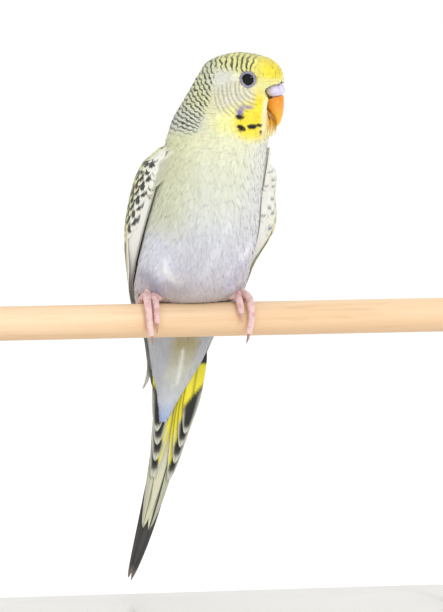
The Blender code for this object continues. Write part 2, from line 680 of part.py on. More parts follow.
def make_stand():
    """A dowel on two rods over a flat base."""
    wood = finish("perch wood", (0.8, 0.62, 0.42), 0.6)
    lacquer = finish("base lacquer", (0.82, 0.81, 0.79), 0.45)
    steel = finish("rod steel", (0.6, 0.6, 0.6), 0.3, 1.0)
    perch = cylinder("perch", (0, 0, 0), PERCH_RADIUS, PERCH_LENGTH, "X", wood, PARTS, 28)
    bevel(perch, PERCH_CHAMFER, 1)
    top = BASE_SIZE[2] - PERCH_HEIGHT
    shape = bmesh.new()
    bmesh.ops.create_cube(shape, size=MM)
    bmesh.ops.scale(shape, vec=BASE_SIZE, verts=shape.verts)
    upright = [e for e in shape.edges if abs(e.verts[0].co.z - e.verts[1].co.z) > MM]
    bmesh.ops.bevel(shape, geom=upright, offset=BASE_CORNER * MM, segments=5, profile=0.5, affect="EDGES")
    mesh = bpy.data.meshes.new("stand_base")
    shape.to_mesh(mesh)
    shape.free()
    mesh.materials.append(lacquer)
    base = bpy.data.objects.new("stand_base", mesh)
    PARTS.objects.link(base)
    base.parent = LIFT
    base.location = (0, 0, (top - BASE_SIZE[2] / 2) * MM)
    bevel(base, 0.8, 2)
    low = top - ROD_DEPTH
    for name, x in (("left", ROD_X), ("right", -ROD_X)):
        length = -low
        cylinder("stand_rod_" + name, (x, 0, low / 2), ROD_RADIUS, length, "Z", steel, PARTS, 24)
        hole = cylinder(
            "rod hole", (x, 0, low / 2), ROD_RADIUS + GAP, length + 2 * GAP, "Z", steel, CUTTERS, 24)
        cut(perch, hole)
        cut(base, hole)


clear_scene()
PARTS = new_collection("budgerigar")
CUTTERS = new_collection("cutters")
LIFT = bpy.data.objects.new("perch height", None)
PARTS.objects.link(LIFT)
LIFT.location = (0, 0, PERCH_HEIGHT * MM)

torso_node = make_body()
make_head()
make_face()
wing_finish = finish("wing plumage", (0.7, 0.72, 0.6), 0.8)
make_wing("wing_right", 1, wing_finish)
make_wing("wing_left", -1, wing_finish)
make_tail()
make_leg("leg_right", 1, torso_node)
make_leg("leg_left", -1, torso_node)
make_stand()
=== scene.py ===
import bmesh
import bpy
import numpy as np
from mathutils import Matrix, Vector


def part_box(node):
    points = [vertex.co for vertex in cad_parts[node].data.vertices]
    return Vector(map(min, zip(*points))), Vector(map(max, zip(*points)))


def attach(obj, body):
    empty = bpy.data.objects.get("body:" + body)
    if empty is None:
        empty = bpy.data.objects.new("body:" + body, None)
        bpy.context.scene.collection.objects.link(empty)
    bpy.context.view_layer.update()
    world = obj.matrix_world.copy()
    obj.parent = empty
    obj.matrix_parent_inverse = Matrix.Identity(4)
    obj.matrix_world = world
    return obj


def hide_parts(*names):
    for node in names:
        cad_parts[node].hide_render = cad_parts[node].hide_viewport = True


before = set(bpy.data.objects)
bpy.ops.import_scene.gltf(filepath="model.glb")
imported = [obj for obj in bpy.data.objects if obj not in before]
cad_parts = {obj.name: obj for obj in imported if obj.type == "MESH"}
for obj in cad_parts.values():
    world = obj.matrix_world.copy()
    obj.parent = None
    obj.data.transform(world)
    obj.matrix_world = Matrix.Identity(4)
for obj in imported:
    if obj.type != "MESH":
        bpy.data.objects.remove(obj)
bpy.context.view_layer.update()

rng = np.random.default_rng(7)  # the order of its draws fixes every feather

# Work in millimetres from the middle of the perch's axis, as the bird was measured
perchLow, perchHigh = (np.array(corner) * 1000 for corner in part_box("perch"))
perchMiddle = (perchLow + perchHigh) / 2


def linearColour(hexText):
    # sRGB hex to linear: ((c + 0.055) / 1.055) ^ 2.4, or c / 12.92 near black
    c = np.array([int(hexText[i:i + 2], 16) / 255 for i in (1, 3, 5)])
    c = np.where(c <= 0.04045, c / 12.92, ((c + 0.055) / 1.055) ** 2.4)
    return (*c.tolist(), 1.0)


def rgb(hexText):
    # linear red, green and blue, without the alpha
    return np.array(linearColour(hexText)[:3])


def blend(colour, *layers):
    # lays hex colours over a colour, each by its share: colour * (1 - share) + layer * share
    colour = rgb(colour) if isinstance(colour, str) else colour
    for share, hexText in layers:
        share = np.clip(share, 0, 1)[..., None]
        colour = colour * (1 - share) + rgb(hexText) * share
    return colour


def smooth(x, low, high):
    # eases from 0 at low to 1 at high, whichever is larger: t * t * (3 - 2 t)
    t = np.clip((x - low) / (high - low), 0, 1)
    return t * t * (3 - 2 * t)


def unit(v):
    # v / |v|
    return v / np.maximum(np.linalg.norm(v, axis=-1, keepdims=True), 1e-9)


def curveThrough(x, stations, column):
    # cubic Hermite through the stations, slopes from their neighbours
    heights, values = stations[:, 0], stations[:, column]
    slopes = np.gradient(values, heights)
    i = np.clip(np.searchsorted(heights, x) - 1, 0, len(heights) - 2)
    step = heights[i + 1] - heights[i]
    t = np.clip((x - heights[i]) / step, 0, 1)
    ease = smooth(t, 0, 1)
    rise = t * (1 - t) ** 2 * step * slopes[i]
    fall = t * t * (t - 1) * step * slopes[i + 1]
    return values[i] * (1 - ease) + values[i + 1] * ease + rise + fall


def wave(p, size, seed=0):
    # smooth wandering value from -1 to 1: three crossed sines of one wavelength
    q = np.asarray(p) * (2 * np.pi / size)
    a = np.sin(q[..., 0] * 1.0 + q[..., 1] * 0.7 + seed)
    b = np.sin(q[..., 1] * 1.1 - q[..., 2] * 0.8 + seed * 1.7)
    c = np.sin(q[..., 2] * 0.9 + q[..., 0] * 0.6 + seed * 2.3)
    return (a + b + c) / 3


# The bird's form: torso sections and a turned head, as in the solids
body = {
    # height, centre x, half width, front y, back y
    "stations": np.array([
        (-42, -15.0, 0.9, 29.0, 33.0), (-34, -13.8, 2.9, 25.0, 33.0), (-28, -12.8, 4.9, 21.3, 32.5),
        (-22, -11.9, 7.2, 17.0, 32.3), (-16, -11.1, 9.3, 13.5, 31.5),
        (-6, -10.2, 12.5, 8.5, 29.5), (3, -9.6, 17.2, 2.0, 28.5), (10, -9.3, 19.6, -8.5, 27.0),
        (18, -8.8, 19.9, -16.0, 25.0), (28, -7.6, 19.9, -21.5, 22.0), (42, -6.0, 18.9, -24.5, 18.0),
        (54, -4.3, 18.2, -24.3, 14.5), (63, -2.9, 17.9, -22.8, 11.5), (71, -1.6, 16.6, -20.5, 8.5),
        (79, -0.2, 13.2, -17.5, 6.0), (87, 1.2, 8.0, -13.5, 2.0)], float),
    "coatDepth": 0.6, "topBlend": 7.0, "neckBlend": 6.0, "perchRoom": 5.9,
    "footX": {"right": -26.0, "left": 7.4},
    # room round each foot: inward, y, z and three radii, over the toes and then behind them
    "footRooms": ((0.0, -2.0, 8.0, 5.0, 9.0, 4.5), (1.6, 6.2, 3.6, 7.4, 5.2, 8.0)),
}
head = {
    "centre": np.array([5.65, -9.0, 82.7]), "turn": np.radians(62.0), "pitch": np.radians(6.0),
    "front": 14.2, "back": 15.0, "side": 11.9, "up": 11.0, "down": 15.5,
    "notch": np.array([15.5, 0.0, -4.5]), "notchRadii": np.array([5.8, 8.5, 7.0]),
    "cereRoom": np.array([12.3, 0.0, -0.95]), "cereRoomRadii": np.array([3.8, 9.0, 2.6]),
    "billRoom": np.array([13.2, 0.0, -7.4]), "billRoomRadii": np.array([4.0, 7.5, 7.0]),
    "eye": np.array([4.3, 8.85, 2.75]), "loreSource": np.array([8.0, 11.0, 0.8]),
}


def headAxesFrom(turn, pitch):
    # forward, right and up of the head as rows: level directions first, then tipped down by the pitch
    flat = np.array([np.sin(turn), -np.cos(turn), 0.0])
    forward = flat * np.cos(pitch) - np.array([0, 0, np.sin(pitch)])
    right = np.cross(flat, (0, 0, 1.0))
    return np.array([forward, right, np.cross(right, forward)])


headAxes = headAxesFrom(head["turn"], head["pitch"])


def headPoint(local):
    # centre + forward, right and up parts along the head's axes
    return head["centre"] + np.asarray(local, float) @ headAxes


def headLocal(p):
    # the way back: forward, right and up parts of a point
    return (p - head["centre"]) @ headAxes.T


def softMax(a, b, blendWidth):
    # the larger of two fields, rounded where they lie within w of each other: a m + b (1 - m) + w m (1 - m)
    mix = np.clip(0.5 - 0.5 * (b - a) / blendWidth, 0, 1)
    return b * (1 - mix) + a * mix + blendWidth * mix * (1 - mix)


def bodySection(z):
    # centre x and y, half width, and depths to the front and back of the section at a height
    s = body["stations"]
    front, back = curveThrough(z, s, 3), curveThrough(z, s, 4)
    middle = 0.475 * front + 0.525 * back
    return curveThrough(z, s, 1), middle, curveThrough(z, s, 2), middle - front, back - middle


def bodyField(p, footRooms=True):
    # below 0 inside: elliptic sections blended with a squarish egg, less the bill's notch, feet and perch
    x, y, width, front, back = bodySection(p[..., 2])
    across, along = p[..., 0] - x, p[..., 1] - y
    depth = np.where(along < 0, front, back)
    ratio = np.sqrt((across / width) ** 2 + (along / depth) ** 2) + 1e-9
    above = p[..., 2] - body["stations"][-1, 0] - 3
    torso = softMax((ratio - 1) * np.minimum(width, depth), above, body["topBlend"])
    local = headLocal(p)
    forward, side, up = local[..., 0], local[..., 1], local[..., 2]
    power = 2.33 + 0.47 * np.tanh(forward / 5)
    total = np.abs(forward / np.where(forward > 0, head["front"], head["back"])) ** power
    total = total + np.abs(side / (head["side"] - 3.4 * smooth(forward, 5, 13))) ** power
    total = total + np.abs(up / np.where(up > 0, head["up"], head["down"])) ** power
    egg = (total ** (1 / power) - 1) * head["side"]
    for room in ("notch", "cereRoom", "billRoom"):
        radii = head[room + "Radii"]
        ratio = np.linalg.norm((local - head[room]) / radii, axis=-1)
        egg = softMax(egg, (1 - ratio) * radii.min(), 0.8)
    field = -softMax(-torso, -egg, body["neckBlend"])
    if footRooms:
        for name, footX in body["footX"].items():
            for inward, roomY, roomZ, *radii in body["footRooms"]:
                middle = (footX + (inward if name == "right" else -inward), roomY, roomZ)
                ratio = np.linalg.norm((p - middle) / radii, axis=-1)
                field = softMax(field, (1 - ratio) * min(radii), 1.2)
    return softMax(field, body["perchRoom"] - np.hypot(p[..., 1], p[..., 2]), 0.6)


def bodySlope(p, footRooms=True):
    # gradient of the field by differences: (F(p + h) - F(p)) / h along each axis
    h = 0.05
    here = bodyField(p, footRooms)
    parts = [(bodyField(p + h * np.eye(3)[i], footRooms) - here) / h for i in range(3)]
    return here, np.stack(parts, -1)


def settle(p, depth):
    # moves points to the level that lies depth inside the body: p -= (F + depth) grad / |grad|^2, twice
    for _ in range(2):
        value, slope = bodySlope(p, False)
        push = (value + depth) / np.maximum((slope ** 2).sum(-1), 0.2)
        p = p - slope * np.clip(push, -2, 2)[..., None]
    return p, unit(slope)


def castRays(starts, directions, depth=0.0):
    # first crossing outwards from inside the body, in half-millimetre steps and then by halving
    distance = np.zeros(starts.shape[:-1])
    running = np.ones(distance.shape, bool)
    for _ in range(80):
        running &= bodyField(starts + directions * (distance + 0.5)[..., None]) < -depth
        distance = np.where(running, distance + 0.5, distance)
    step = 0.25
    for _ in range(12):
        inside = bodyField(starts + directions * (distance + step)[..., None]) < -depth
        distance = np.where(inside, distance + step, distance)
        step /= 2
    return starts + directions * distance[..., None]


def spine(z):
    # middle of the bird at a height: of the section below 56 mm, easing to the head's centre at 72 mm
    x, y, *_ = bodySection(z)
    low = np.stack([x, y, z], -1)
    high = np.stack([np.full_like(z, head["centre"][0]), np.full_like(z, head["centre"][1]), z], -1)
    ease = smooth(z, 56, 72)[..., None]
    return low * (1 - ease) + high * ease


def coatPlace(p):
    # unwrap of the skin's own shape: turn about the spine, and height eased over the crown
    middle = spine(p[..., 2])
    u = np.arctan2(p[..., 1] - middle[..., 1], p[..., 0] - middle[..., 0]) / (2 * np.pi) + 0.5
    v = np.clip((p[..., 2] + 44) / 142, 0, 1)
    return np.stack([0.01 + 0.98 * u, 0.01 + 0.98 * (2 / np.pi) * np.arcsin(v ** 1.5)], -1)


def lieOfCoat(p, normal):
    # feathers run back from the lores and forehead on the head, and down the spine on the body
    local = headLocal(p)
    side = np.where(local[..., 1] >= 0, 1.0, -1.0)
    source = np.stack([np.full_like(side, head["loreSource"][0]), side * head["loreSource"][1],
                       np.full_like(side, head["loreSource"][2])], -1)
    face = unit(local - source)
    nearMiddle = np.exp(-(local[..., 1] / 5.0) ** 2)[..., None]
    under = np.stack([-0.55 + 0 * side, 0 * side, -0.85 + 0 * side], -1)
    face = face * (1 - nearMiddle) + under * nearMiddle
    turn = np.arctan2(local[..., 2] + 15, local[..., 0] - 7)
    crown = np.stack([-np.sin(turn), 0 * turn, np.cos(turn)], -1)
    crownShare = smooth(local[..., 2], 1.5, 6.0)[..., None]
    crownShare = np.maximum(crownShare, smooth(-local[..., 0], 5.0, 10.0)[..., None])
    headWay = (face * (1 - crownShare) + crown * crownShare) @ headAxes
    z = p[..., 2]
    bodyWay = unit(spine(z - 1.0) - spine(z + 1.0))
    share = smooth(z, 62, 74)[..., None]
    way = headWay * share + bodyWay * (1 - share)
    way = way - normal * (way * normal).sum(-1, keepdims=True)
    return unit(way)


def addPiece(name, points, faces, material, slot, nodes=(), sharp=None, normals=None):
    # one closed mesh from points in millimetres from the perch; the finished object sits at the origin
    mesh = bpy.data.meshes.new(name)
    world = (np.asarray(points, float).reshape(-1, 3) + perchMiddle) * 0.001
    faces = np.asarray(faces)
    mesh.vertices.add(len(world))
    mesh.vertices.foreach_set("co", world.astype(np.float32).ravel())
    mesh.loops.add(faces.size)
    mesh.loops.foreach_set("vertex_index", faces.ravel().astype(np.int32))
    mesh.polygons.add(len(faces))
    mesh.polygons.foreach_set("loop_start", np.arange(len(faces), dtype=np.int32) * faces.shape[1])
    mesh.update(calc_edges=True)
    mesh.validate()
    mesh.shade_smooth()
    if sharp is not None:
        mesh.set_sharp_from_angle(angle=np.radians(sharp))
    if normals is not None:
        mesh.normals_split_custom_set_from_vertices(normals.reshape(-1, 3).tolist())
    else:
        # a grid's turn depends on its side of the bird, so the faces are turned outwards here
        shape = bmesh.new()
        shape.from_mesh(mesh)
        bmesh.ops.recalc_face_normals(shape, faces=shape.faces)
        shape.to_mesh(mesh)
        shape.free()
    mesh.materials.append(material)
    piece = bpy.data.objects.new(name, mesh)
    bpy.context.scene.collection.objects.link(piece)
    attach(piece, "root")
    if nodes:
        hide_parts(*nodes)
    return piece


def addValue(piece, name, values):
    # one number for each vertex, for the material
    attribute = piece.data.attributes.new(name, "FLOAT", "POINT")
    attribute.data.foreach_set("value", np.asarray(values, np.float32).ravel())


def addColours(piece, name, colours):
    # one linear colour for each vertex, for the material
    attribute = piece.data.attributes.new(name, "FLOAT_COLOR", "POINT")
    full = np.concatenate([colours.reshape(-1, 3), np.ones((colours.size // 3, 1))], 1)
    attribute.data.foreach_set("color", full.astype(np.float32).ravel())


def addMap(piece, name, places):
    # a UV map from one place for each vertex
    layer = piece.data.uv_layers.new(name=name)
    corner = np.empty(len(piece.data.loops), np.int32)
    piece.data.loops.foreach_get("vertex_index", corner)
    layer.data.foreach_set("uv", np.asarray(places, np.float32).reshape(-1, 2)[corner].ravel())


def gridFaces(rows, columns):
    # quads of a grid whose rows climb and whose columns close round anticlockwise
    r, c = np.meshgrid(np.arange(rows - 1), np.arange(columns), indexing="ij")
    n = (c + 1) % columns
    quads = np.stack([r * columns + c, r * columns + n, (r + 1) * columns + n, (r + 1) * columns + c], -1)
    return quads.reshape(-1, 4)


def closedGrid(rings):
    # a lofted skin whose first and last rings shrink to a point, as quads
    rings = np.asarray(rings, float)
    ends = [rings[0].mean(0) + 0 * rings[0], rings[-1].mean(0) + 0 * rings[-1]]
    rings = np.concatenate([ends[:1], rings, ends[1:]])
    return rings.reshape(-1, 3), gridFaces(len(rings), rings.shape[1])


def tube(path, radii, sides=24, side=(1.0, 0, 0)):
    # elliptic rings about a path: centre + cos t wide across + sin t deep other
    path, radii = np.asarray(path, float), np.asarray(radii, float)
    way = unit(np.gradient(path, axis=0))
    across = unit(np.asarray(side) - way * (way @ np.asarray(side))[:, None])
    other = np.cross(way, across)
    t = np.arange(sides) * 2 * np.pi / sides
    return (path[:, None] + np.cos(t)[None, :, None] * radii[:, 1, None, None] * across[:, None]
            + np.sin(t)[None, :, None] * radii[:, 0, None, None] * other[:, None])


def smoothPath(points, count):
    # evenly numbered samples of the cubic curve through the points
    points = np.asarray(points, float)
    table = np.column_stack([np.arange(len(points)), points])
    t = np.linspace(0, len(points) - 1, count)
    return np.stack([curveThrough(t, table, i + 1) for i in range(points.shape[1])], -1)


colourMix = {"data_type": "RGBA"}
colourProduct = {"data_type": "RGBA", "blend_type": "MULTIPLY"}
easedRange = {"interpolation_type": "SMOOTHSTEP"}


def newMaterial(name):
    # an empty material for the nodes that follow
    material = bpy.data.materials.new(name)
    material.use_nodes = True
    material.node_tree.nodes.clear()
    return material


def addNode(material, kind, settings=None, inputs=None, output=0):
    # one node with its settings; an input is a socket that feeds it, a hex colour or a fixed value
    node = material.node_tree.nodes.new("ShaderNode" + kind)
    for key, value in (settings or {}).items():
        setattr(node, key, value)
    for key, value in (inputs or {}).items():
        if isinstance(value, bpy.types.NodeSocket):
            material.node_tree.links.new(value, node.inputs[key])
        else:
            node.inputs[key].default_value = linearColour(value) if isinstance(value, str) else value
    return node.outputs[output] if len(node.outputs) else None


def finishMaterial(material, inputs, height=None, strength=0.3, distance=0.0001):
    # the principled shader, with fine relief where a height is given, joined to the output
    if height is not None:
        relief = {"Height": height, "Strength": strength, "Distance": distance}
        inputs = {**inputs, "Normal": addNode(material, "Bump", None, relief)}
    shader = addNode(material, "BsdfPrincipled", None, inputs)
    addNode(material, "OutputMaterial", None, {"Surface": shader})
    return material


def layeredMaterial(name, ground, tints, shader, strength, distance, stretch=(1.0, 1.0, 1.0), pores=0.0):
    # a ground colour with tints over it; each tint's share eases from 0 to its most between two values
    # of a noise of that scale in the object's metres, or of the height where the scale is 0;
    # the fine relief comes from the last noise, or from cells of the pores' scale
    m = newMaterial(name)
    place = addNode(m, "TexCoord", output="Object")
    drawn = addNode(m, "Mapping", None, {"Vector": place, "Scale": stretch})
    colour = ground
    for scale, detail, low, high, most, tint in tints:
        if scale:
            # noises of more than three octaves keep more of their fine grain
            noise = {"Vector": drawn, "Scale": scale, "Detail": detail, "Roughness": 0.5 + 0.15 * (detail > 3)}
            source = relief = addNode(m, "TexNoise", None, noise)
        else:
            source = addNode(m, "SeparateXYZ", None, {"Vector": place}, "Z")
        share = addNode(m, "MapRange", easedRange,
                        {"Value": source, "From Min": low, "From Max": high, "To Max": most})
        colour = addNode(m, "Mix", colourMix, {0: share, 6: colour, 7: tint}, 2)
    if pores:
        relief = addNode(m, "TexVoronoi", None, {"Vector": place, "Scale": pores})
    return finishMaterial(m, {"Base Color": colour, **shader}, relief, strength, distance)


def plumageMaterial(name):
    # contour feathers: matt keratin barbs, soft and dry, with fine bars where the pattern says so
    m = newMaterial(name)
    base, dark = (addNode(m, "Attribute", {"attribute_name": key}) for key in ("plumage", "barColour"))
    phase, strength = (addNode(m, "Attribute", {"attribute_name": key}, output="Fac")
                       for key in ("barPhase", "barStrength"))
    place = addNode(m, "TexCoord", output="Object")
    vane = addNode(m, "UVMap", {"uv_map": "vane"})
    # bars: sin(2 pi (phase + 0.55 (wobble - 0.5))), eased at its edges and broken by the same wobble
    wobble = addNode(m, "TexNoise", None, {"Vector": place, "Scale": 420.0, "Detail": 1.0})
    drift = addNode(m, "Math", {"operation": "MULTIPLY_ADD"}, {0: wobble, 1: 0.55, 2: -0.275})
    shifted = addNode(m, "Math", {"operation": "ADD"}, {0: phase, 1: drift})
    turn = addNode(m, "Math", {"operation": "MULTIPLY"}, {0: shifted, 1: 6.28318})
    waves = addNode(m, "Math", {"operation": "SINE"}, {0: turn})
    bars = addNode(m, "MapRange", easedRange, {"Value": waves, "From Min": 0.0, "From Max": 0.6})
    broken = addNode(m, "Math", {"operation": "MULTIPLY_ADD"}, {0: wobble, 1: 0.9, 2: 0.55})
    held = addNode(m, "Math", {"operation": "MULTIPLY"}, {0: strength, 1: broken})
    line = addNode(m, "Math", {"operation": "MULTIPLY", "use_clamp": True}, {0: bars, 1: held})
    # barbs: 0.15 mm apart in life, drawn about 0.35 mm so that they show
    bands = {"Vector": vane, "Scale": 2.2, "Distortion": 1.2, "Detail": 1.0, "Detail Scale": 2.0}
    barbs = addNode(m, "TexWave", {"wave_type": "BANDS", "bands_direction": "X"}, bands, "Fac")
    # soft streaks about 3 mm wide run down the body
    drawn = addNode(m, "Mapping", None, {"Vector": place, "Scale": (1.0, 1.0, 0.22)})
    mottle = addNode(m, "TexNoise", None, {"Vector": drawn, "Scale": 300.0, "Detail": 3.0})
    lit = addNode(m, "Math", {"operation": "MULTIPLY_ADD"}, {0: mottle, 1: 0.2, 2: 0.86})
    tone = addNode(m, "Math", {"operation": "MULTIPLY_ADD"}, {0: barbs, 1: 0.08, 2: lit})
    toned = addNode(m, "Mix", colourProduct, {0: 1.0, 6: base, 7: tone}, 2)
    colour = addNode(m, "Mix", colourMix, {0: line, 6: toned, 7: dark}, 2)
    shader = {"Base Color": colour, "Roughness": 0.85, "IOR": 1.45, "Sheen Weight": 0.25,
              "Sheen Roughness": 0.6, "Specular IOR Level": 0.2, "Subsurface Weight": 0.15,
              "Subsurface Radius": (0.0012, 0.001, 0.0008)}
    return finishMaterial(m, shader, barbs, 0.15, 0.00005)


plumage = plumageMaterial("keratin contour feathers")

tones = {
    # ground colours by height, from the undertail to the head
    "stations": (-42, -37, -31, -20, -9, 2, 12, 20, 30, 40, 50, 58, 66, 76),
    "hex": ("#8ba3d0", "#a3b4da", "#c6cad2", "#bcbcae", "#a0966e", "#aa9f9a", "#beb8bd",
            "#c5c4cd", "#cbccd0", "#d3d5cb", "#d6d8c4", "#dcddc2", "#dfdfb9", "#e3e0ac"),
    # the flank colour is a yellow tinge darkened with painted shade
    "flankTintAndShade": "#c4c796", "side": "#d6d6e0", "besideVent": "#a7acba", "back": "#dcdcb0", "rump": "#d8dccb",
    "forehead": "#f7e33c", "mask": "#f6de2a", "paleMask": "#f1ef9d", "lore": "#e9e394", "cheek": "#dddac4",
    "crown": "#e6e391", "nape": "#d3d6a6", "neck": "#cfd2bf", "ear": "#d9dbd0", "strip": "#efecd2",
    "chin": "#e2bd4c", "violet": "#8079cc", "spot": "#15120f",
    "bar": "#23221c", "cheekBar": "#857c62", "crownBar": "#3a3820", "backBar": "#2b2a26",
    # throat spots: forward, up, half length, half height, tilt; in the head's directions on each side
    "throatSpots": (
        (3.2, -10.4, 1.4, 0.85, 0.1), (4.1, -14.2, 1.6, 0.95, 0.55), (7.1, -13.4, 1.35, 0.95, 0.0),
        (8.9, -12.9, 1.05, 0.6, -0.2), (9.6, -15.3, 0.35, 0.7, 0.0)),
    # violet cheek patch: forward, up, half length, half height, share
    "violetPatches": ((3.0, -8.7, 0.95, 1.2, 1.3), (3.6, -6.9, 1.2, 0.8, 0.7), (5.7, -6.7, 1.2, 0.65, 0.9)),
    # pale sweeps of the thigh feathers on the belly, and two dark mauve ones that are painted shade low on the
    # belly by the right foot: two ends as (x, z), spread, share and colour
    "thighStreaksAndShade": (
        (-25.5, 27.0, -24.0, 17.0, 4.2, 0.6, "#d9deec"), (-23.3, 22.5, -22.2, 18.3, 1.0, 0.7, "#eef0f4"),
        (-22.2, 18.3, -19.6, 14.8, 0.9, 0.8, "#f1f2f2"), (-19.6, 14.8, -17.2, 13.6, 0.8, 0.6, "#efece4"),
        (7.8, 27.0, 4.0, 22.6, 1.5, 0.8, "#eeeff6"), (4.0, 22.6, -0.5, 17.5, 1.3, 0.5, "#eae9f0"),
        (-3.5, 34.0, -9.5, 17.0, 1.4, 0.35, "#e6e5ec"), (3.0, 20.0, 1.0, 12.0, 3.0, 0.45, "#b4b0cc"),
        # the two sweeps on the next line are painted shade under the belly, by the right foot
        (-21.0, 13.0, -16.0, 10.5, 2.6, 0.5, "#9c9399"), (-27.5, 16.0, -23.5, 10.5, 2.0, 0.65, "#86849a"),
        (-11.3, -12.0, -11.8, -24.0, 0.7, 0.6, "#efeee6")),
}


def coatMarks(p):
    # colour, bar phase, bar strength and bar colour at points on the body: areas are products of eases
    z = p[..., 2]
    stops = np.array([rgb(h) for h in tones["hex"]])
    colour = np.stack([np.interp(z, tones["stations"], stops[:, i]) for i in range(3)], -1)
    local = headLocal(p)
    f, s, w = local[..., 0], np.abs(local[..., 1]), local[..., 2]  # forward, sideways and up in the head
    middle, backY = bodySection(z)[:2]
    x, y = p[..., 0] - middle, p[..., 1] - backY  # from the body's middle
    # the bird's right flank: a yellow tinge together with painted shade of the side turned from the key light
    flankTintAndShade = smooth(-x, 6, 17) * smooth(z, 22, 40) * smooth(z, 70, 62)
    leftSide = smooth(x, 4, 16) * smooth(z, 25, 45) * smooth(z, 68, 60)
    colour = blend(colour, (0.55 * flankTintAndShade, tones["flankTintAndShade"]), (0.45 * leftSide, tones["side"]))
    # pale thigh sweeps, and sweeps of painted shade by the right foot
    for x0, z0, x1, z1, size, share, hexText in tones["thighStreaksAndShade"]:
        along = ((p[..., 0] - x0) * (x1 - x0) + (z - z0) * (z1 - z0)) / ((x1 - x0) ** 2 + (z1 - z0) ** 2)
        along = np.clip(along, 0, 1)
        away = np.hypot(p[..., 0] - x0 - along * (x1 - x0), z - z0 - along * (z1 - z0))
        colour = blend(colour, (share * np.exp(-(away / size) ** 2) * smooth(y, 2, -4), hexText))
    isHead = smooth(z, 64, 69)
    besideVent = smooth(np.abs(x), 2.5, 7.0) * smooth(z, 8, -4)
    # back of the body, hidden in the photo: barred mantle, plain rump
    behind = smooth(y, 2.0, 8.0) * smooth(z, 72, 64)
    mantle = behind * smooth(z, 18, 30)
    rump = behind * smooth(z, 26, 14) * smooth(z, -34, -20)
    # areas of the head
    crown = smooth(w, 3.5, 6.5) * isHead
    nape = smooth(-f, 6.0, 10.5) * isHead
    high = smooth(w, -14, -4)
    ear = np.exp(-((f + 4.5) / 5.5) ** 2 - ((w - 1.5) / 4.5) ** 2) * isHead
    cheek = np.exp(-(((f - 0.2) / 7.6) ** 2 + ((w + 4.2) / 6.2) ** 2) ** 1.6) * smooth(s, 5, 8) * isHead
    forehead = smooth(f + 0.2 * w, 4.5, 12.0) * smooth(w, 0.0, 4.5) * isHead
    paleMask = smooth(((f - 4.0) / 8.0) ** 2 + ((w + 13.0) / 7.0) ** 2, 1.5, 0.5) * isHead
    front = smooth(f, 6.0, 8.5) * smooth(w, 1.5, -1.5) * smooth(w, -17, -13) * isHead
    mask = np.maximum(0.92 * smooth(((f - 7.5) / 6.3) ** 2 + ((w + 11.5) / 6.8) ** 2, 1.55, 0.35), front)
    lore = smooth(f, 6.5, 9.0) * smooth(np.abs(w - 0.5), 4.5, 2.0) * isHead
    strip = smooth(f, 9.0, 10.4) * smooth(-w, 2.0, 4.5) * smooth(w, -18, -15)
    chin = smooth(f, 10.4, 11.2) * smooth(-w, 8, 10) * smooth(w, -16, -14)
    colour = blend(colour, (0.75 * besideVent, tones["besideVent"]), (mantle, tones["back"]),
                   (rump, tones["rump"]), (crown, tones["crown"]), (nape * high, tones["nape"]),
                   (nape * (1 - high), tones["neck"]), (1.1 * ear, tones["ear"]), (cheek, tones["cheek"]),
                   (forehead, tones["forehead"]), (0.8 * paleMask, tones["paleMask"]), (mask, tones["mask"]),
                   (0.8 * lore, tones["lore"]), (0.7 * strip, tones["strip"]), (0.8 * chin, tones["chin"]))
    for centreF, centreW, halfF, halfW, share in tones["violetPatches"]:
        patch = np.exp(-((f - centreF) / halfF) ** 2 - ((w - centreW) / halfW) ** 2) * smooth(s, 6, 8)
        colour = blend(colour, (share * patch, tones["violet"]))
    # bars: radial over crown and nape, rings about the lores on the cheek, level on the mantle
    radial = 31.0 * np.arctan2(w + 20, f - 7) / 1.95
    reach = np.hypot(f - 7, w + 20)
    scallop = np.abs(np.sin(np.pi * (reach / 2.3 + 0.5 * (np.floor(radial) % 2))))
    radial = radial - 0.34 * scallop * smooth(-f, 2, 8) + 0.22 * wave(local, 5.5, 3.0)
    ragged = 1.3 * wave(local, 1.9, 5.0)
    ringed = np.sqrt((f - 8) ** 2 + (w - 0.8) ** 2) / 1.5
    level = z / 2.9 + 0.35 * np.cos(x / 2.3)
    barred = np.maximum(isHead, smooth(y, 1, 6))
    crownBars = smooth(w + ragged, 4.2, 6.4) * smooth(f, 7.0, 4.5)
    napeBars = smooth(ragged - f - 0.25 * np.clip(-w - 6, 0, 12), 6.8, 9.3) * smooth(z, 58, 61)
    napeBars = napeBars * (0.72 + 0.28 * scallop)
    upper = np.maximum(crownBars * isHead, napeBars * barred)
    cheekBars = smooth(((f - 0.4) / 7.8) ** 2 + ((w + 4.4) / 6.0) ** 2, 1.15, 0.7) * smooth(s, 5, 8)
    cheekBars = cheekBars * (1 - upper)
    phase = np.where(z < 62, level, np.where(cheekBars > upper, ringed, radial))
    crownFade = 0.5 + 0.45 * smooth(s, 3.0, 9.0)
    strength = np.maximum(0.95 * napeBars * barred, crownFade * crownBars * isHead)
    strength = np.where(z < 62, mantle * 0.9, np.maximum(strength, 0.43 * cheekBars))
    barColour = blend(np.broadcast_to(rgb(tones["bar"]), colour.shape), (crownBars, tones["crownBar"]),
                      (cheekBars, tones["cheekBar"]), (mantle, tones["backBar"]))
    spot = np.zeros(z.shape)
    for centreF, centreW, halfLength, halfHeight, tilt in tones["throatSpots"]:
        a, b = f - centreF, w - centreW
        along = a * np.cos(tilt) - b * np.sin(tilt)
        down = a * np.sin(tilt) + b * np.cos(tilt)
        inside = smooth((along / halfLength) ** 2 + (down / halfHeight) ** 2, 1.25, 0.75)
        spot = np.maximum(spot, inside * smooth(s, 3, 5))
    return blend(colour, (spot, tones["spot"])), phase, strength * (1 - spot), barColour


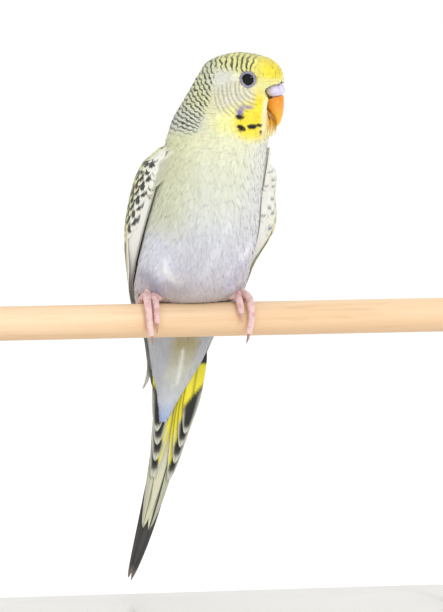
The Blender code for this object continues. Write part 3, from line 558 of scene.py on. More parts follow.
def paintCoat(piece, points, vanePlaces, shades=1.0):
    # the same marks on skin and coat: colour times each feather's own shade, bars as they are
    colour, phase, strength, barColour = coatMarks(points)
    addColours(piece, "plumage", np.clip(colour * np.reshape(shades, (-1, 1)), 0, 1))
    addColours(piece, "barColour", barColour)
    addValue(piece, "barPhase", phase)
    addValue(piece, "barStrength", strength)
    addMap(piece, "vane", vanePlaces)


skinGrid = {"columns": 128, "body": (-38, 56, 90), "neck": (56.8, 84.5, 42), "crownRings": 26}


def buildSkin():
    # rings by height from the tail's root to the head's middle, then a dome of rays over the crown
    columns, top = skinGrid["columns"], skinGrid["neck"][1]
    angle = np.arange(columns) * 2 * np.pi / columns
    heights = np.concatenate([np.linspace(*skinGrid["body"]), np.linspace(*skinGrid["neck"])])
    starts = np.repeat(spine(heights)[:, None], columns, 1)
    directions = np.broadcast_to(np.stack([np.cos(angle), np.sin(angle), 0 * angle], -1), starts.shape)
    rings = castRays(starts, directions, body["coatDepth"])
    lift = np.linspace(0, np.pi / 2, skinGrid["crownRings"])[1:-1]
    over = np.stack([np.outer(np.cos(lift), np.cos(angle)), np.outer(np.cos(lift), np.sin(angle)),
                     np.repeat(np.sin(lift)[:, None], columns, 1)], -1)
    dome = castRays(np.broadcast_to(spine(np.array([top]))[0], over.shape), over, body["coatDepth"])
    points, faces = closedGrid(np.concatenate([rings, dome]))
    skin = addPiece("skin", points, faces, plumage, "body_plumage", ("torso", "neck", "head"))
    paintCoat(skin, points, np.zeros((len(points), 2)))
    addMap(skin, "OFBake", coatPlace(points))


coat = {
    "toneSpread": 0.035, "feathersInPiece": 3000, "rootDepth": 0.45, "eyeRoom": 2.6, "perchRoom": 6.2,
    # size on the body and on the head, and what the muzzle and the vent add
    "length": (7.4, 3.4, -1.2, 1.2), "width": (1.15, 0.72, -0.12, 0.8),
    "lift": 0.38, "liftSpread": 0.07, "sway": np.radians(7), "thickness": 0.12, "ragged": 0.13,
    "lowest": -34.0, "spacing": 1.0, "bodyWider": 0.5, "crownRadius": 13.5,
    # the folded wing hides the coat from this far inside its front edge, between these angles and heights
    "wingInset": 9, "wingBack": -74, "wingTop": 47, "wingLow": -20,
    "billRoom": (12.6, 0, -7.0), "billRoomRadii": (3.6, 3.8, 6.8),
}
# a small vane: places of its rows, width at each row, and its columns, with one more below the middle
vaneRows = np.array([0.0, 0.35, 0.65, 0.87, 1.0])
vaneWidths = np.array([0.5, 1.0, 0.95, 0.66, 0.24])
vaneColumns = np.array([-1.0, -0.5, 0.0, 0.5, 1.0, 0.0])


def vaneFaces(count, rows, ring):
    # rings along each vane, with both ends closed
    one = gridFaces(rows, ring)
    last = (rows - 1) * ring
    ends = []
    for i in range(ring // 2 - 1):
        ends.append((i + 1, i, ring - 1 - i, ring - 2 - i))
        ends.append((last + i, last + i + 1, last + ring - 2 - i, last + ring - 1 - i))
    one = np.concatenate([one, np.array(ends)])[:, ::-1]
    return (one[None] + (np.arange(count) * rows * ring)[:, None, None]).reshape(-1, 4)


def layVanes(roots, ways, normals, lengths, widths, lifts):
    # leaf = root + way * along + across * width, laid on the body's level and lifted towards the tip;
    # its shading normal is the body's, leaned a little to each side, so that the coat looks soft
    count = len(roots)
    across = np.cross(normals, ways)
    notches = rng.random((count, 1, len(vaneColumns)))
    notches[..., -1] = notches[..., 2]
    jag = 1 - coat["ragged"] * notches * vaneRows[None, :, None]
    along = vaneRows[None, :, None] * (1 - 0.12 * vaneColumns ** 2) * jag
    wide = vaneWidths[None, :, None] * vaneColumns[None, None]
    points = (roots[:, None, None] + ways[:, None, None] * (along * lengths[:, None, None])[..., None]
              + across[:, None, None] * (wide * widths[:, None, None])[..., None])
    points, up = settle(points, 0.0)
    camber = 0.06 * widths[:, None, None] * (1 - vaneColumns[None, None] ** 2)
    level = -coat["rootDepth"] + lifts[:, None, None] * along + camber
    level[..., -1] = level.min(-1) - coat["thickness"] * (1 - 0.35 * vaneRows)
    points = points + up * level[..., None]
    places = np.stack(np.broadcast_arrays(vaneColumns[None, None] * 0.5 + 0.5 + 0 * along, along), -1)
    lean = across[:, None, None] * (0.22 * vaneColumns)[None, None, :, None]
    return points, places, unit(up + lean + ways[:, None, None] * 0.12 * vaneRows[None, :, None, None])


def turnsOf(count, row):
    # evenly spaced angles, every second row set half a step on, each moved a little
    return (np.arange(count) + 0.5 * (row % 2) + 0.3 * rng.random(count)) * 2 * np.pi / count


def coatRoots():
    # rows of roots by height and then over the crown
    found = []
    z = coat["lowest"]
    row = 0
    while z < head["centre"][2]:
        spacing = coat["spacing"] + coat["bodyWider"] * (1 - float(smooth(z, 56, 70)))
        middle = spine(np.array([z]))[0]
        count = int(2 * np.pi * max(bodySection(z)[2], 11) / spacing)
        angle = turnsOf(count, row)
        heights = z + spacing * 0.35 * (rng.random(count) - 0.5)
        starts = np.column_stack([np.full(count, middle[0]), np.full(count, middle[1]), heights])
        found.append(castRays(starts, np.stack([np.cos(angle), np.sin(angle), 0 * angle], -1)))
        z += spacing * 0.92
        row += 1
    lift = 0.0
    while lift < np.pi / 2 - 0.04:
        count = max(int(2 * np.pi * coat["crownRadius"] * np.cos(lift) / 1.0), 3)
        angle = turnsOf(count, row)
        rise = lift + 0.03 * (rng.random(count) - 0.5)
        directions = np.stack([np.cos(rise) * np.cos(angle), np.cos(rise) * np.sin(angle), np.sin(rise)], -1)
        found.append(castRays(np.broadcast_to(head["centre"], directions.shape), directions))
        lift += 0.95 / coat["crownRadius"]
        row += 1
    return np.concatenate(found)


def underWing(p):
    # true where a folded wing hides the coat: angle from straight sideways, well inside the front edge
    x, y, *_ = bodySection(p[..., 2])
    angle = np.degrees(np.arctan2(y - p[..., 1], np.abs(p[..., 0] - x)))
    edge = np.where(p[..., 0] > x, wingEdge(-1, p[..., 2]), wingEdge(1, p[..., 2]))
    inside = (angle < edge - coat["wingInset"]) & (angle > coat["wingBack"])
    return inside & (p[..., 2] < coat["wingTop"]) & (p[..., 2] > coat["wingLow"])


def buildCoat():
    # each size is the sum of the zones' shares times their sizes; eye, cere and bill are kept clear
    roots = coatRoots()
    normals = unit(bodySlope(roots)[1])
    keep = ~underWing(roots) & (np.hypot(roots[:, 1], roots[:, 2]) > coat["perchRoom"])
    roots, normals = roots[keep], normals[keep]
    ways = lieOfCoat(roots, normals)
    z = roots[:, 2]
    count = len(roots)
    headShare = smooth(z, 60, 70)
    muzzle = smooth(headLocal(roots)[:, 0], 4, 10) * headShare
    zones = (1 - headShare, headShare, muzzle, 1 - smooth(z, -14, 6))
    lengths, widths = (sum(share * size for share, size in zip(zones, coat[key]))
                       * (0.8 + 0.4 * rng.random(count)) for key in ("length", "width"))
    sway = coat["sway"] * rng.standard_normal(count)
    ways = ways * np.cos(sway)[:, None] + np.cross(normals, ways) * np.sin(sway)[:, None]
    lifts = coat["lift"] + coat["liftSpread"] * rng.standard_normal(count)
    starts = roots - ways * (0.35 * lengths)[:, None]
    tone = 1 + coat["toneSpread"] * rng.standard_normal(count)
    pieces = np.array_split(np.argsort(z), int(np.ceil(count / coat["feathersInPiece"])))
    for index, chunk in enumerate(pieces):
        points, places, shading = layVanes(starts[chunk], ways[chunk], normals[chunk], lengths[chunk],
                                           widths[chunk], lifts[chunk])
        tips = headLocal(points.reshape(len(chunk), -1, 3))
        nearEye = np.hypot(tips[..., 0] - head["eye"][0], tips[..., 2] - head["eye"][2]) < coat["eyeRoom"]
        nearEye &= np.abs(tips[..., 1]) > 7
        nearCere = np.linalg.norm((tips - face["cere"]) / (face["cereRadii"] + 0.2), axis=-1) < 1
        nearBill = np.linalg.norm((tips - coat["billRoom"]) / coat["billRoomRadii"], axis=-1) < 1
        ok = ~(nearEye | nearCere | nearBill).any(1)
        points, places = points[ok], places[ok]
        faces = vaneFaces(len(points), len(vaneRows), len(vaneColumns))
        piece = addPiece(f"coat_{index}", points, faces, plumage, "body_plumage", normals=shading[ok])
        shades = np.repeat(tone[chunk][ok], len(vaneRows) * len(vaneColumns))
        paintCoat(piece, points.reshape(-1, 3), places, shades)
        addMap(piece, "OFBake", coatPlace(roots[chunk][ok])[:, None, None] + 0.003 * places)
    print("coat feathers", count)


wing = {
    # height, standoff of the outer face, angle of the front edge
    "stations": np.array([
        (-28, 1.9, -45), (-12, 2.1, -24), (0, 2.6, -21), (8.7, 3.4, -18), (17, 4.8, -13), (24, 6.5, -8),
        (35, 8.0, -2), (44, 8.3, 3), (51, 7.7, 8), (55, 6.4, 11), (58, 4.9, 13), (61, 2.6, 14)], float),
    "clearance": 0.55, "midline": 0.8, "top": 59.8, "tuck": 9.0, "coreEnd": 3.0, "cover": 1.2,
    # the left wing is fuller at its middle (by, height, spread) and closer at its shoulder (by, from, to)
    "leftFuller": (2.4, 33, 11), "leftCloser": (5.0, 50, 58),
    # crescent coverts: tiers, height of the first tips, fall and growth from tier to tier
    "tiers": 12, "firstTip": 57.9, "fall": 2.65, "length": 6.5, "lengthStep": 0.6,
    "halfWidth": 1.3, "widthStep": 0.09,
    # tips of the primaries as height and angle, and the leading edge as distance round and tip height
    "primaryTips": ((-27, -26), (-27.5, -52), (-25, -60), (-19, -66), (-13, -70), (-7, -74)),
    "edgeTips": ((7.6, 6.5), (6.4, 5.2), (5.2, 4.6), (4.0, 4.4), (2.8, 4.6), (1.6, 5.5), (0.6, 8.0)),
    # breast feathers over the front edge: how many, first height, fall, length, turn back and half width
    "laps": 78, "lapTop": 62.0, "lapFall": 0.42, "lapLength": 6.5, "lapTurn": 11.0, "lapHalfWidth": 0.85,
}


def wingPoint(side, z, degrees, height):
    # over the body's section: centre + (cos, sin) of the angle from straight sideways, at radius + height
    x, y, width, front, back = bodySection(z)
    angle = np.radians(degrees)
    depth = np.where(angle > 0, front, back)
    if side < 0:
        by, middle, spread = wing["leftFuller"]
        closer, low, high = wing["leftCloser"]
        fuller = by * np.exp(-((z - middle) / spread) ** 2) - closer * smooth(z, low, high)
        height = height + fuller * smooth(height, 1.0, 5.0)
    radius = 1 / np.sqrt((np.cos(angle) / width) ** 2 + (np.sin(angle) / depth) ** 2) + height
    out = np.maximum(radius * np.cos(angle), wing["midline"])
    return np.stack([x - side * out, y - radius * np.sin(angle), z + 0 * radius], -1)


def wingEdge(side, z):
    # angle of the front edge; the left wing sits tucked further back, behind the breast
    return curveThrough(z, wing["stations"], 2) - (wing["tuck"] * smooth(z, 30, 46) if side < 0 else 0)


def armAngle(side, z, t):
    # share t of the way from the front edge to the back edge, which turns from -87 to -65 degrees going up
    front = wingEdge(side, z)
    return front + (-87 + 22 * np.clip((z - 12) / 40, 0, 1) - front) * t


def armPoint(side, z, t, proud=0.0):
    # outer face of the folded arm over a rounded section: thickness * (1 - |2 t - 1| ^ 4) ^ 0.6
    top = np.sqrt(np.clip((wing["top"] + 0.3 - z) / 5.0, 0, 1))
    low = np.sqrt(np.clip((z - wing["coreEnd"]) / 6.0, 0, 1))
    slope = np.where(t < 0.3, 1.0, 1.0 - 0.6 * (t - 0.3) / 0.7)
    outer = (curveThrough(z, wing["stations"], 1) - wing["cover"]) * slope
    thick = np.maximum(outer - wing["clearance"], 0.5) * top * low
    thick = thick * (1 - 0.6 * smooth(t, 0.15, 0.45) * (1 - smooth(z, 12, 26)))
    bulge = np.clip(1 - np.abs(2 * t - 1) ** 4, 0, 1) ** 0.6
    return wingPoint(side, z, armAngle(side, z, t), wing["clearance"] + 0.15 + thick * bulge + proud)


def runOf(path):
    # distance along a path at each of its points
    return np.concatenate([[0], np.cumsum(np.linalg.norm(np.diff(path, axis=0), axis=1))])


def armLeaf(leaves, side, start, end, halfWidth, proud, kind, paint):
    # a covert laid on the arm: start and end are (height, millimetres round from the front edge)
    share = np.linspace(0, 1, 160) ** 1.6
    arc = runOf(armPoint(side, np.full(160, (start[0] + end[0]) / 2), share))

    def place(a, c, wide):
        # the arm's own face at that height and distance round, raised along its normal
        z = start[0] + (end[0] - start[0]) * a
        t = np.clip(np.interp(start[1] + (end[1] - start[1]) * a + c * wide, arc, share), 0.002, 0.998)
        sweep = armPoint(side, z, t + 0.002) - armPoint(side, z, t - 0.002)
        climb = armPoint(side, z + 0.2, t) - armPoint(side, z - 0.2, t)
        up = unit(np.cross(climb, sweep) * side)
        return armPoint(side, z, t) + up * (proud[0] + (proud[1] - proud[0]) * a)[..., None], up

    leaves.add(place, paint, halfWidth, kind, patch=(0.05 + start[1] / 45, (start[0] + 30) / 100))


def quillMaterial(name):
    # wing and tail feathers: smooth closed vanes, stiffer and glossier than the coat, each with a pattern
    m = newMaterial(name)
    base = addNode(m, "Attribute", {"attribute_name": "pattern"})
    vane = addNode(m, "UVMap", {"uv_map": "vane"})
    barbs = addNode(m, "TexWave", {"wave_type": "BANDS", "bands_direction": "DIAGONAL"},
                    {"Vector": vane, "Scale": 7.0, "Distortion": 0.8, "Detail": 1.0}, "Fac")
    tone = addNode(m, "MapRange", None, {"Value": barbs, "To Min": 0.88, "To Max": 1.06})
    colour = addNode(m, "Mix", colourProduct, {0: 1.0, 6: base, 7: tone}, 2)
    shader = {"Base Color": colour, "Roughness": 0.6, "IOR": 1.5, "Sheen Weight": 0.1,
              "Specular IOR Level": 0.3}
    return finishMaterial(m, shader, barbs, 0.25, 0.00005)


quill = quillMaterial("keratin flight feathers")


# where the tip's curve starts along the feather, and its power: higher is blunter
leafTips = {"covert": (0.45, 2.0), "flight": (0.78, 2.2), "tail": (0.6, 1.5), "point": (0.35, 1.25)}


def leafOutline(along, kind):
    # share of the half width: narrow at the root, full in the middle, then (1 - t ^ power) ^ (1 / power)
    root = smooth(along, -0.12, 0.3) * 0.6 + 0.4
    start, power = leafTips[kind]
    t = np.clip((along - start) / (1 - start), 0, 1)
    return root * (1 - t ** power) ** (1 / power) + 0.04


class Leaves:
    # gathers the larger feathers of one piece, each a closed leaf with its own pattern, then makes its mesh
    def __init__(self, rows=22, columns=9):
        self.points, self.colours, self.places, self.patches = [], [], [], []
        self.along = np.linspace(0, 1, rows) ** 0.9
        self.across = np.linspace(-1, 1, columns)

    def add(self, place, paint, halfWidth, kind, thickness=0.16, patch=(0.5, 0.5)):
        # place(along, across, width) gives points and outward directions; paint gives colours;
        # top and underside lie half the thickness above and below the cambered face
        a, c = np.meshgrid(self.along, self.across, indexing="ij")
        points, up = place(a, c, leafOutline(a, kind) * halfWidth)
        camber = 0.12 * halfWidth * (1 - c ** 2)
        thin = thickness * (0.25 + 0.75 * (1 - np.abs(c))) * (1 - 0.6 * a)
        shaft = 0.12 * np.exp(-(c / 0.12) ** 2) * (1 - a)
        top = points + up * (camber + shaft + thin / 2)[..., None]
        under = points + up * (camber - thin / 2)[..., None]
        colour = paint(a, c)
        uv = np.stack([c * 0.5 + 0.5, a], -1)
        uv = np.concatenate([uv, uv[:, ::-1]], 1)
        self.points.append(np.concatenate([top, under[:, ::-1]], 1))
        self.colours.append(np.concatenate([colour, colour[:, ::-1]], 1))
        self.places.append(uv)
        self.patches.append(np.asarray(patch) + 0.003 * uv)

    def build(self, name, slot, nodes=()):
        # one mesh of all leaves, with pattern, vane map and bake map
        points = np.array(self.points)
        faces = vaneFaces(len(points), len(self.along), 2 * len(self.across))
        piece = addPiece(name, points, faces, quill, slot, nodes)
        addColours(piece, "pattern", np.array(self.colours))
        addMap(piece, "vane", np.array(self.places))
        addMap(piece, "OFBake", np.array(self.patches))


def shaftLine(c, width=0.06):
    # 1 on the shaft, falling off to each side: exp(-(c / width)^2)
    return np.exp(-(c / width) ** 2)


def covertPaint(inset, darkFrom, deep, margin=0.8, dark="#262622"):
    # cream feather, yellower away from the front edge, with a dark crescent short of its tip:
    # deep is how far up the dark reaches, and it comes in from the distance darkFrom on
    def paint(a, c):
        level = a + 0.26 * c ** 2
        start = deep + 0.3 * (1 - smooth(inset, darkFrom - 1.2, darkFrom + 1.2))
        crescent = smooth(level, start, start + 0.08) * (1 - smooth(level, 0.82, 0.88))
        crescent = crescent * (1 - smooth(np.abs(c), margin, margin + 0.16))
        return blend("#e9e8de", (smooth(inset, 4.0, 8.0), "#d6d5a4"), (0.95 * crescent, dark))
    return paint


def edgePaint(top, bottom):
    # long pale feather of the leading edge, darker towards its tip
    def paint(a, c):
        return blend(top, (smooth(a, 0.35, 1.0), bottom), (0.35 * shaftLine(c - 0.8, 0.12), "#8f8c7c"))
    return paint


def flightPaint(kind):
    # loose ones plain; secondaries dark in the middle; primaries grey-brown inside, cream at the outer edge
    def paint(a, c):
        if kind == "loose":
            return blend("#efeeea", (0 * a, "#efeeea"))
        if kind == "secondary":
            middle = (1 - smooth(np.abs(c), 0.35, 0.7)) * (1 - smooth(a, 0.9, 0.96))
            return blend("#d9d8aa", (0.85 * middle, "#4d4c44"))
        return blend("#cfd0b8", (0.75 * smooth(-c, -0.15, 0.2), "#8b897c"),
                     (smooth(c, 0.55, 0.85), "#edecc9"), (0.45 * smooth(a, 0.80, 1.0), "#9b968a"),
                     (0.7 * shaftLine(c), "#6f6a5c"))
    return paint


def wingLeaf(leaves, side, root, tip, halfWidth, heights, tilt, kind, paint, flare=0.0):
    # a long feather round the body from root to tip, each (height, angle), at two heights over the skin
    def place(a, c, wide):
        # the angle follows a ^ 1.3, and the feather's width lies square to that line
        z = root[0] + (tip[0] - root[0]) * a
        width = bodySection(z)[2] + 3.0
        slant = (tip[1] - root[1]) * 1.3 * a ** 0.3 * np.pi / 180 * width / (tip[0] - root[0])
        angle = root[1] + (tip[1] - root[1]) * a ** 1.3 + np.degrees(c * wide / width)
        z = z - slant * c * wide * 0.6
        height = heights[0] + (heights[1] - heights[0]) * a + tilt * c
        height = height + 0.45 * np.exp(-((z - 5) / 8) ** 2) + flare * np.clip((a - 0.8) / 0.2, 0, 1) ** 2
        over = curveThrough(z, wing["stations"], 1) - curveThrough(tip[0], wing["stations"], 1)
        rise = np.clip(over - wing["cover"], 0, 9) * (1 - a)
        height = np.maximum(height + rise, wing["clearance"] + 0.15)
        points = wingPoint(side, z, angle, height)
        return points, unit(wingPoint(side, z, angle, height + 1) - points)

    leaves.add(place, paint, halfWidth, kind, patch=(0.1 + 0.8 * (root[1] + 90) / 110, (root[0] + 30) / 100))


def buildArm(name, side):
    # core of the folded arm: its inner face on the coat and its outer face, joined row by row
    rows, columns = 70, 44
    z = np.broadcast_to(np.linspace(wing["coreEnd"], wing["top"], rows)[:, None], (rows, columns))
    t = np.broadcast_to(np.linspace(0, 1, columns) ** 1.3, z.shape)
    inner = wingPoint(side, z, armAngle(side, z, t), wing["clearance"] + 0 * z)
    points, faces = closedGrid(np.concatenate([inner, armPoint(side, z, t)[:, ::-1]], 1))
    arm = addPiece(name + "_arm", points, faces, quill, "wing_plumage", (name,))
    share = np.concatenate([t, t[:, ::-1]], 1)
    share = np.concatenate([share[:1], share, share[-1:]]).reshape(-1)
    addColours(arm, "pattern", blend("#dedcd0", (smooth(share, 0.25, 0.45), "#a9a88c")))
    addMap(arm, "vane", np.zeros((len(points), 2)))
    addMap(arm, "OFBake", np.column_stack([np.tile(np.linspace(0, 1, 2 * columns), rows + 2),
                                           np.repeat(np.linspace(0, 1, rows + 2), 2 * columns)]))


def buildWing(name, side):
    # the arm, then flight feathers, and coverts in tiers, each over the roots of the one below
    buildArm(name, side)
    leaves = Leaves()
    for i, tip in enumerate(smoothPath(wing["primaryTips"], 9)):
        loose = i == 0 and side > 0
        paint = flightPaint("loose" if loose else "primary")
        wingLeaf(leaves, side, (30.0 + 0.6 * i, -15.0 - 2.8 * i), tip, 3.3,
                 (1.0 + 0.1 * i, 0.95 + 0.07 * i), 0.2, "flight", paint, 3.4 if loose else 0.0)
    for i, part in enumerate(np.arange(9) / 8):
        wingLeaf(leaves, side, (29.0 + 10 * part, -24.0 - 42 * part), (1.0 + 9 * part, -50.0 - 35 * part),
                 3.4, (1.8, 1.9 + 0.08 * i), 0.22, "flight", flightPaint("secondary"))
    leaves.build(name + "_flight", "wing_plumage")
    coverts = Leaves(14, 7)
    # greater coverts over the flight feathers' roots
    for i, part in enumerate(np.arange(11) / 10):
        armLeaf(coverts, side, (33.0 + 6 * part, 7.0 + 19 * part), (13.0 + 9 * part, 6.0 + 18 * part), 2.1,
                (0.25, 0.55 + 0.07 * (i % 2)), "covert", covertPaint(9.0, 0.0, 0.3, 0.4))
    # leading edge: yellowish feathers outside, white ones inside next to the body
    for i, (inset, tipZ) in enumerate(wing["edgeTips"]):
        paint = edgePaint("#cfcd9a", "#b0ab8e") if inset > 4.5 else edgePaint("#e6e6e0", "#b3b1ac")
        armLeaf(coverts, side, (46.0 - 0.5 * i, inset), (tipZ, 0.7 * inset), 1.15,
                (0.3 + 0.05 * i, 0.45 + 0.05 * i), "flight", paint)
    for tier in reversed(range(wing["tiers"])):
        halfWidth = wing["halfWidth"] + wing["widthStep"] * tier
        length = wing["length"] + wing["lengthStep"] * tier
        tierTip = wing["firstTip"] - wing["fall"] * tier
        reach = runOf(armPoint(side, np.full(60, tierTip), np.linspace(0, 1, 60)))[-1] - 0.5
        inset = 0.6 + 0.8 * (tier % 2)
        while inset < reach:
            jitter = rng.random(3)
            tipZ = tierTip + 0.7 * (jitter[0] - 0.5)
            share = smooth(inset, 2.0, 5.0) if tier > 5 else 1.0
            if jitter[1] < share + 0.1:
                # dark crescents; next to the left wing's front edge small blue-grey spots
                paint = covertPaint(inset, 0.8, 0.70, 0.35, "#7d8290")
                if side > 0 or inset > 9:
                    paint = covertPaint(inset, 0.8 + 0.5 * tier, 0.58 - 0.03 * tier)
                root = (min(tipZ + length, 61.0 + 0.5 * jitter[2]), inset * 1.02)
                proud = (0.35 if tier > 1 else -1.2, 0.75 + 0.15 * jitter[2])
                armLeaf(coverts, side, root, (tipZ, inset), halfWidth, proud, "covert", paint)
            inset += 1.55 * halfWidth
    # breast feathers lap over the shoulder's front edge, so that the wing grows out of the coat
    for i in range(wing["laps"] if side > 0 else 0):
        z0 = wing["lapTop"] - wing["lapFall"] * (i // 3) - wing["lapFall"] / 3 * (i % 3)
        ahead = 9.5 - 3.0 * (i % 3) + 1.5 * rng.random()
        root = wingPoint(side, z0, wingEdge(side, z0) + ahead, 0.0)
        # the coat's colour here, lightened by 4 to 14 percent: painted light, so that these leaves look as
        # light as the softly shaded coat beside them
        tone = np.clip(coatMarks(root)[0] * (1.04 + 0.1 * rng.random()), 0, 1)

        def place(a, c, wide, z0=z0, ahead=ahead):
            # from under the coat ahead of the edge, back over it and outwards
            z = z0 - wing["lapLength"] * a
            angle = wingEdge(side, z) + ahead - wing["lapTurn"] * a + np.degrees(c * wide / 21)
            height = -0.5 + (1.0 + 2.3 * smooth(62.5 - z, 0, 7)) * a ** 1.3
            points = wingPoint(side, z, angle, height)
            return points, unit(wingPoint(side, z, angle, height + 1) - points)

        coverts.add(place, lambda a, c, tone=tone: blend(tone, (0.85 * a, "#f0f0e8")), wing["lapHalfWidth"],
                    "covert", 0.1, (0.02, (z0 + 30) / 100))
    coverts.build(name + "_coverts", "wing_plumage")


tail = {
    # six pairs from the longest out: tips, sideways spread on each side, half widths, end of the yellow web
    "tips": (-97.4, -79.0, -61.0, -54.5, -48.5, -43.5),
    "spread": {1: (1.0, 1.6, 3.2, 3.8, 4.6, 6.0), -1: (1.0, 1.8, 5.2, 6.0, 7.0, 8.0)},
    "halfWidths": (3.0, 3.3, 3.2, 3.2, 3.1, 3.0),
    "yellowEnds": (0, 0, 0.78, 0.73, 0.65, 0.58),
    "root": -8.0,
}


def tailAxis(z):
    # straight back and down from the rump at z = -11.4, swept a little to the bird's right
    drop = -11.4 - z
    return np.stack([-10.3 - 0.015 * drop - 0.00161 * drop ** 2, 23.9 + 0.2310 * drop, z], -1)


def tailPaint(pair, side):
    # the long pair dark, the next pale, the others dark with a yellow band and a pale margin near the tip
    def paint(a, c):
        outer = c * -side
        if pair == 0:
            return blend("#4a4847", (smooth(a, 0.95, 1.0), "#a5988e"), (0.6 * shaftLine(c), "#1c1b1a"))
        if pair == 1:
            return blend("#d9d8bb", (0.6 * smooth(outer, 0.1, 0.6), "#a3a193"),
                         (0.8 * shaftLine(c, 0.07), "#4b4a44"))
        start = 0.17 + 0.02 * pair
        end = tail["yellowEnds"][pair]
        band = smooth(a, start, start + 0.03) * (1 - smooth(a + 0.12 * outer, end, end + 0.06))
        margin = np.maximum(smooth(np.abs(c), 0.66, 0.88), smooth(a, 0.91, 0.97))
        margin = margin * smooth(a + 0.1 * outer, 0.60, 0.72)
        return blend("#2b2b29", (band, "#efe23a"), (margin, "#d6d7c8"), (0.5 * shaftLine(c), "#1f1e1b"))
    return paint


def buildTail():
    # pairs in layers along the axis, the longest on top, each set off sideways by its spread
    leaves = Leaves(36, 9)
    for pair, (tipZ, halfWidth) in enumerate(zip(tail["tips"], tail["halfWidths"])):
        for side in (1, -1):
            spread = tail["spread"][side][pair]
            layer = 2.3 - 0.88 * pair - 0.22 * side

            def place(a, c, wide, tipZ=tipZ, spread=spread, side=side, layer=layer):
                # axis + sideways spread + lift of the layer, less towards the tip
                points = tailAxis(tail["root"] + (tipZ + 1.2 * (side > 0) - tail["root"]) * a)
                points[..., 0] += -side * spread * (1 - 0.25 * a) + c * wide
                points[..., 1] += layer * (1 - 0.35 * a) - 0.18 * c * side
                return points, np.broadcast_to(np.array([0.0, 0.974, 0.225]), points.shape)

            leaves.add(place, tailPaint(pair, side), halfWidth, "tail",
                       patch=(0.1 + 0.14 * pair, 0.3 + 0.2 * side))
    leaves.build("tail_feathers", "tail_plumage", ("tail",))


face = {
    "cere": np.array([11.5, 0.0, -0.35]), "cereRadii": np.array([3.5, 4.7, 2.75]),
    "nostril": np.array([13.3, 2.1, 1.3]), "nostrilRadius": 0.45,
    # forward, up, half depth, half width
    "upper": ((11.4, -3.4, 3.6, 3.3), (12.2, -5.4, 3.15, 3.1), (13.1, -7.6, 2.3, 2.6),
              (13.65, -9.6, 1.5, 1.6), (13.85, -11.3, 0.85, 0.85), (13.6, -13.0, 0.25, 0.3)),
    "lower": ((8.4, -8.6, 1.9, 2.4), (10.6, -9.5, 1.7, 2.3), (11.9, -10.2, 1.2, 1.8),
              (12.6, -10.7, 0.5, 1.0)),
    "eyeRadius": 3.0, "lidRing": 2.52, "lidRadius": 0.46, "lidStandoff": 2.2, "lidBeads": 30,
}


def ellipsoid(centre, radii, axes, rows=40, columns=56, shape=None):
    # centre + radii * (cos v cos u, cos v sin u, sin v) in its own directions
    v = np.linspace(-np.pi / 2, np.pi / 2, rows + 2)[1:-1, None]
    u = np.arange(columns)[None] * 2 * np.pi / columns
    local = np.stack([np.cos(v) * np.cos(u), np.cos(v) * np.sin(u), np.sin(v) + 0 * u], -1) * radii
    if shape is not None:
        local = shape(local)
    return closedGrid(centre + local @ axes)


def skinMaterial(name, ground, spots, scale, roughness=0.5, waxy=0.25):
    # bare living skin or cere: waxy, a little translucent, with fine pores that break its shine
    shader = {"Roughness": roughness, "IOR": 1.42, "Subsurface Weight": waxy,
              "Subsurface Radius": (0.0012, 0.0006, 0.0004)}
    return layeredMaterial(name, ground, ((scale, 3.0, 0.4, 0.7, 1.0, spots),), shader, 0.25, 0.00008,
                           pores=scale * 4)


def hornMaterial(name, top, bottom, lowZ, highZ):
    # growth layers of keratin horn: glossy, shading from one colour to the other down the bill
    low, high = ((z + perchMiddle[2]) / 1000 for z in (lowZ, highZ))
    shader = {"Roughness": 0.3, "IOR": 1.54, "Subsurface Weight": 0.2,
              "Subsurface Radius": (0.0015, 0.0007, 0.0003)}
    tints = ((0, 0, low, high, 1.0, top), (900.0, 2.0, 0.5, 0.75, 0.25, "#f6d27a"))
    return layeredMaterial(name, bottom, tints, shader, 0.12, 0.00006)


def glossMaterial(name, hexBase, roughness):
    # one wet or lined surface without pattern, so that only its highlight shows
    shader = {"Base Color": hexBase, "Roughness": roughness, "IOR": 1.4, "Specular IOR Level": 0.35}
    return finishMaterial(newMaterial(name), shader)


def pinch(local):
    # two swellings over the nostrils with a groove between, and a pit in each: local * (1 - groove - pits)
    f, s, w = local[..., 0:1], local[..., 1:2], local[..., 2:3]
    groove = 0.35 * np.exp(-(s / 0.7) ** 2) * np.clip(w + 1, 0, 2)
    above = ((f - 1.4) / 0.55) ** 2 + ((w - 1.8) / 0.7) ** 2
    pits = sum(0.9 * np.exp(-(above + ((s - side * 2.1) / 0.5) ** 2)) for side in (1, -1))
    return local * (1 - 0.12 * groove - 0.3 * pits)


def lidGrid(side):
    # a ring about the eye's axis, (ring radius + lid radius cos, lid radius sin), beaded by small granules
    around = np.arange(96) * 2 * np.pi / 96
    section = np.arange(20) * 2 * np.pi / 20
    bead = 1 + 0.10 * np.cos(face["lidBeads"] * around)[:, None] * (np.cos(section) > -0.2)
    radius = face["lidRing"] + face["lidRadius"] * np.cos(section)[None] * bead * 1.05
    out = side * (head["eye"][1] + face["lidStandoff"] + face["lidRadius"] * np.sin(section)[None] * bead)
    ring = np.stack([head["eye"][0] + np.cos(around)[:, None] * radius, out,
                     head["eye"][2] + np.sin(around)[:, None] * radius * 0.97], -1)
    n = np.arange(20)
    join = np.stack([95 * 20 + n, 95 * 20 + (n + 1) % 20, (n + 1) % 20, n], -1)
    return headPoint(ring.reshape(-1, 3)), np.concatenate([gridFaces(96, 20), join])


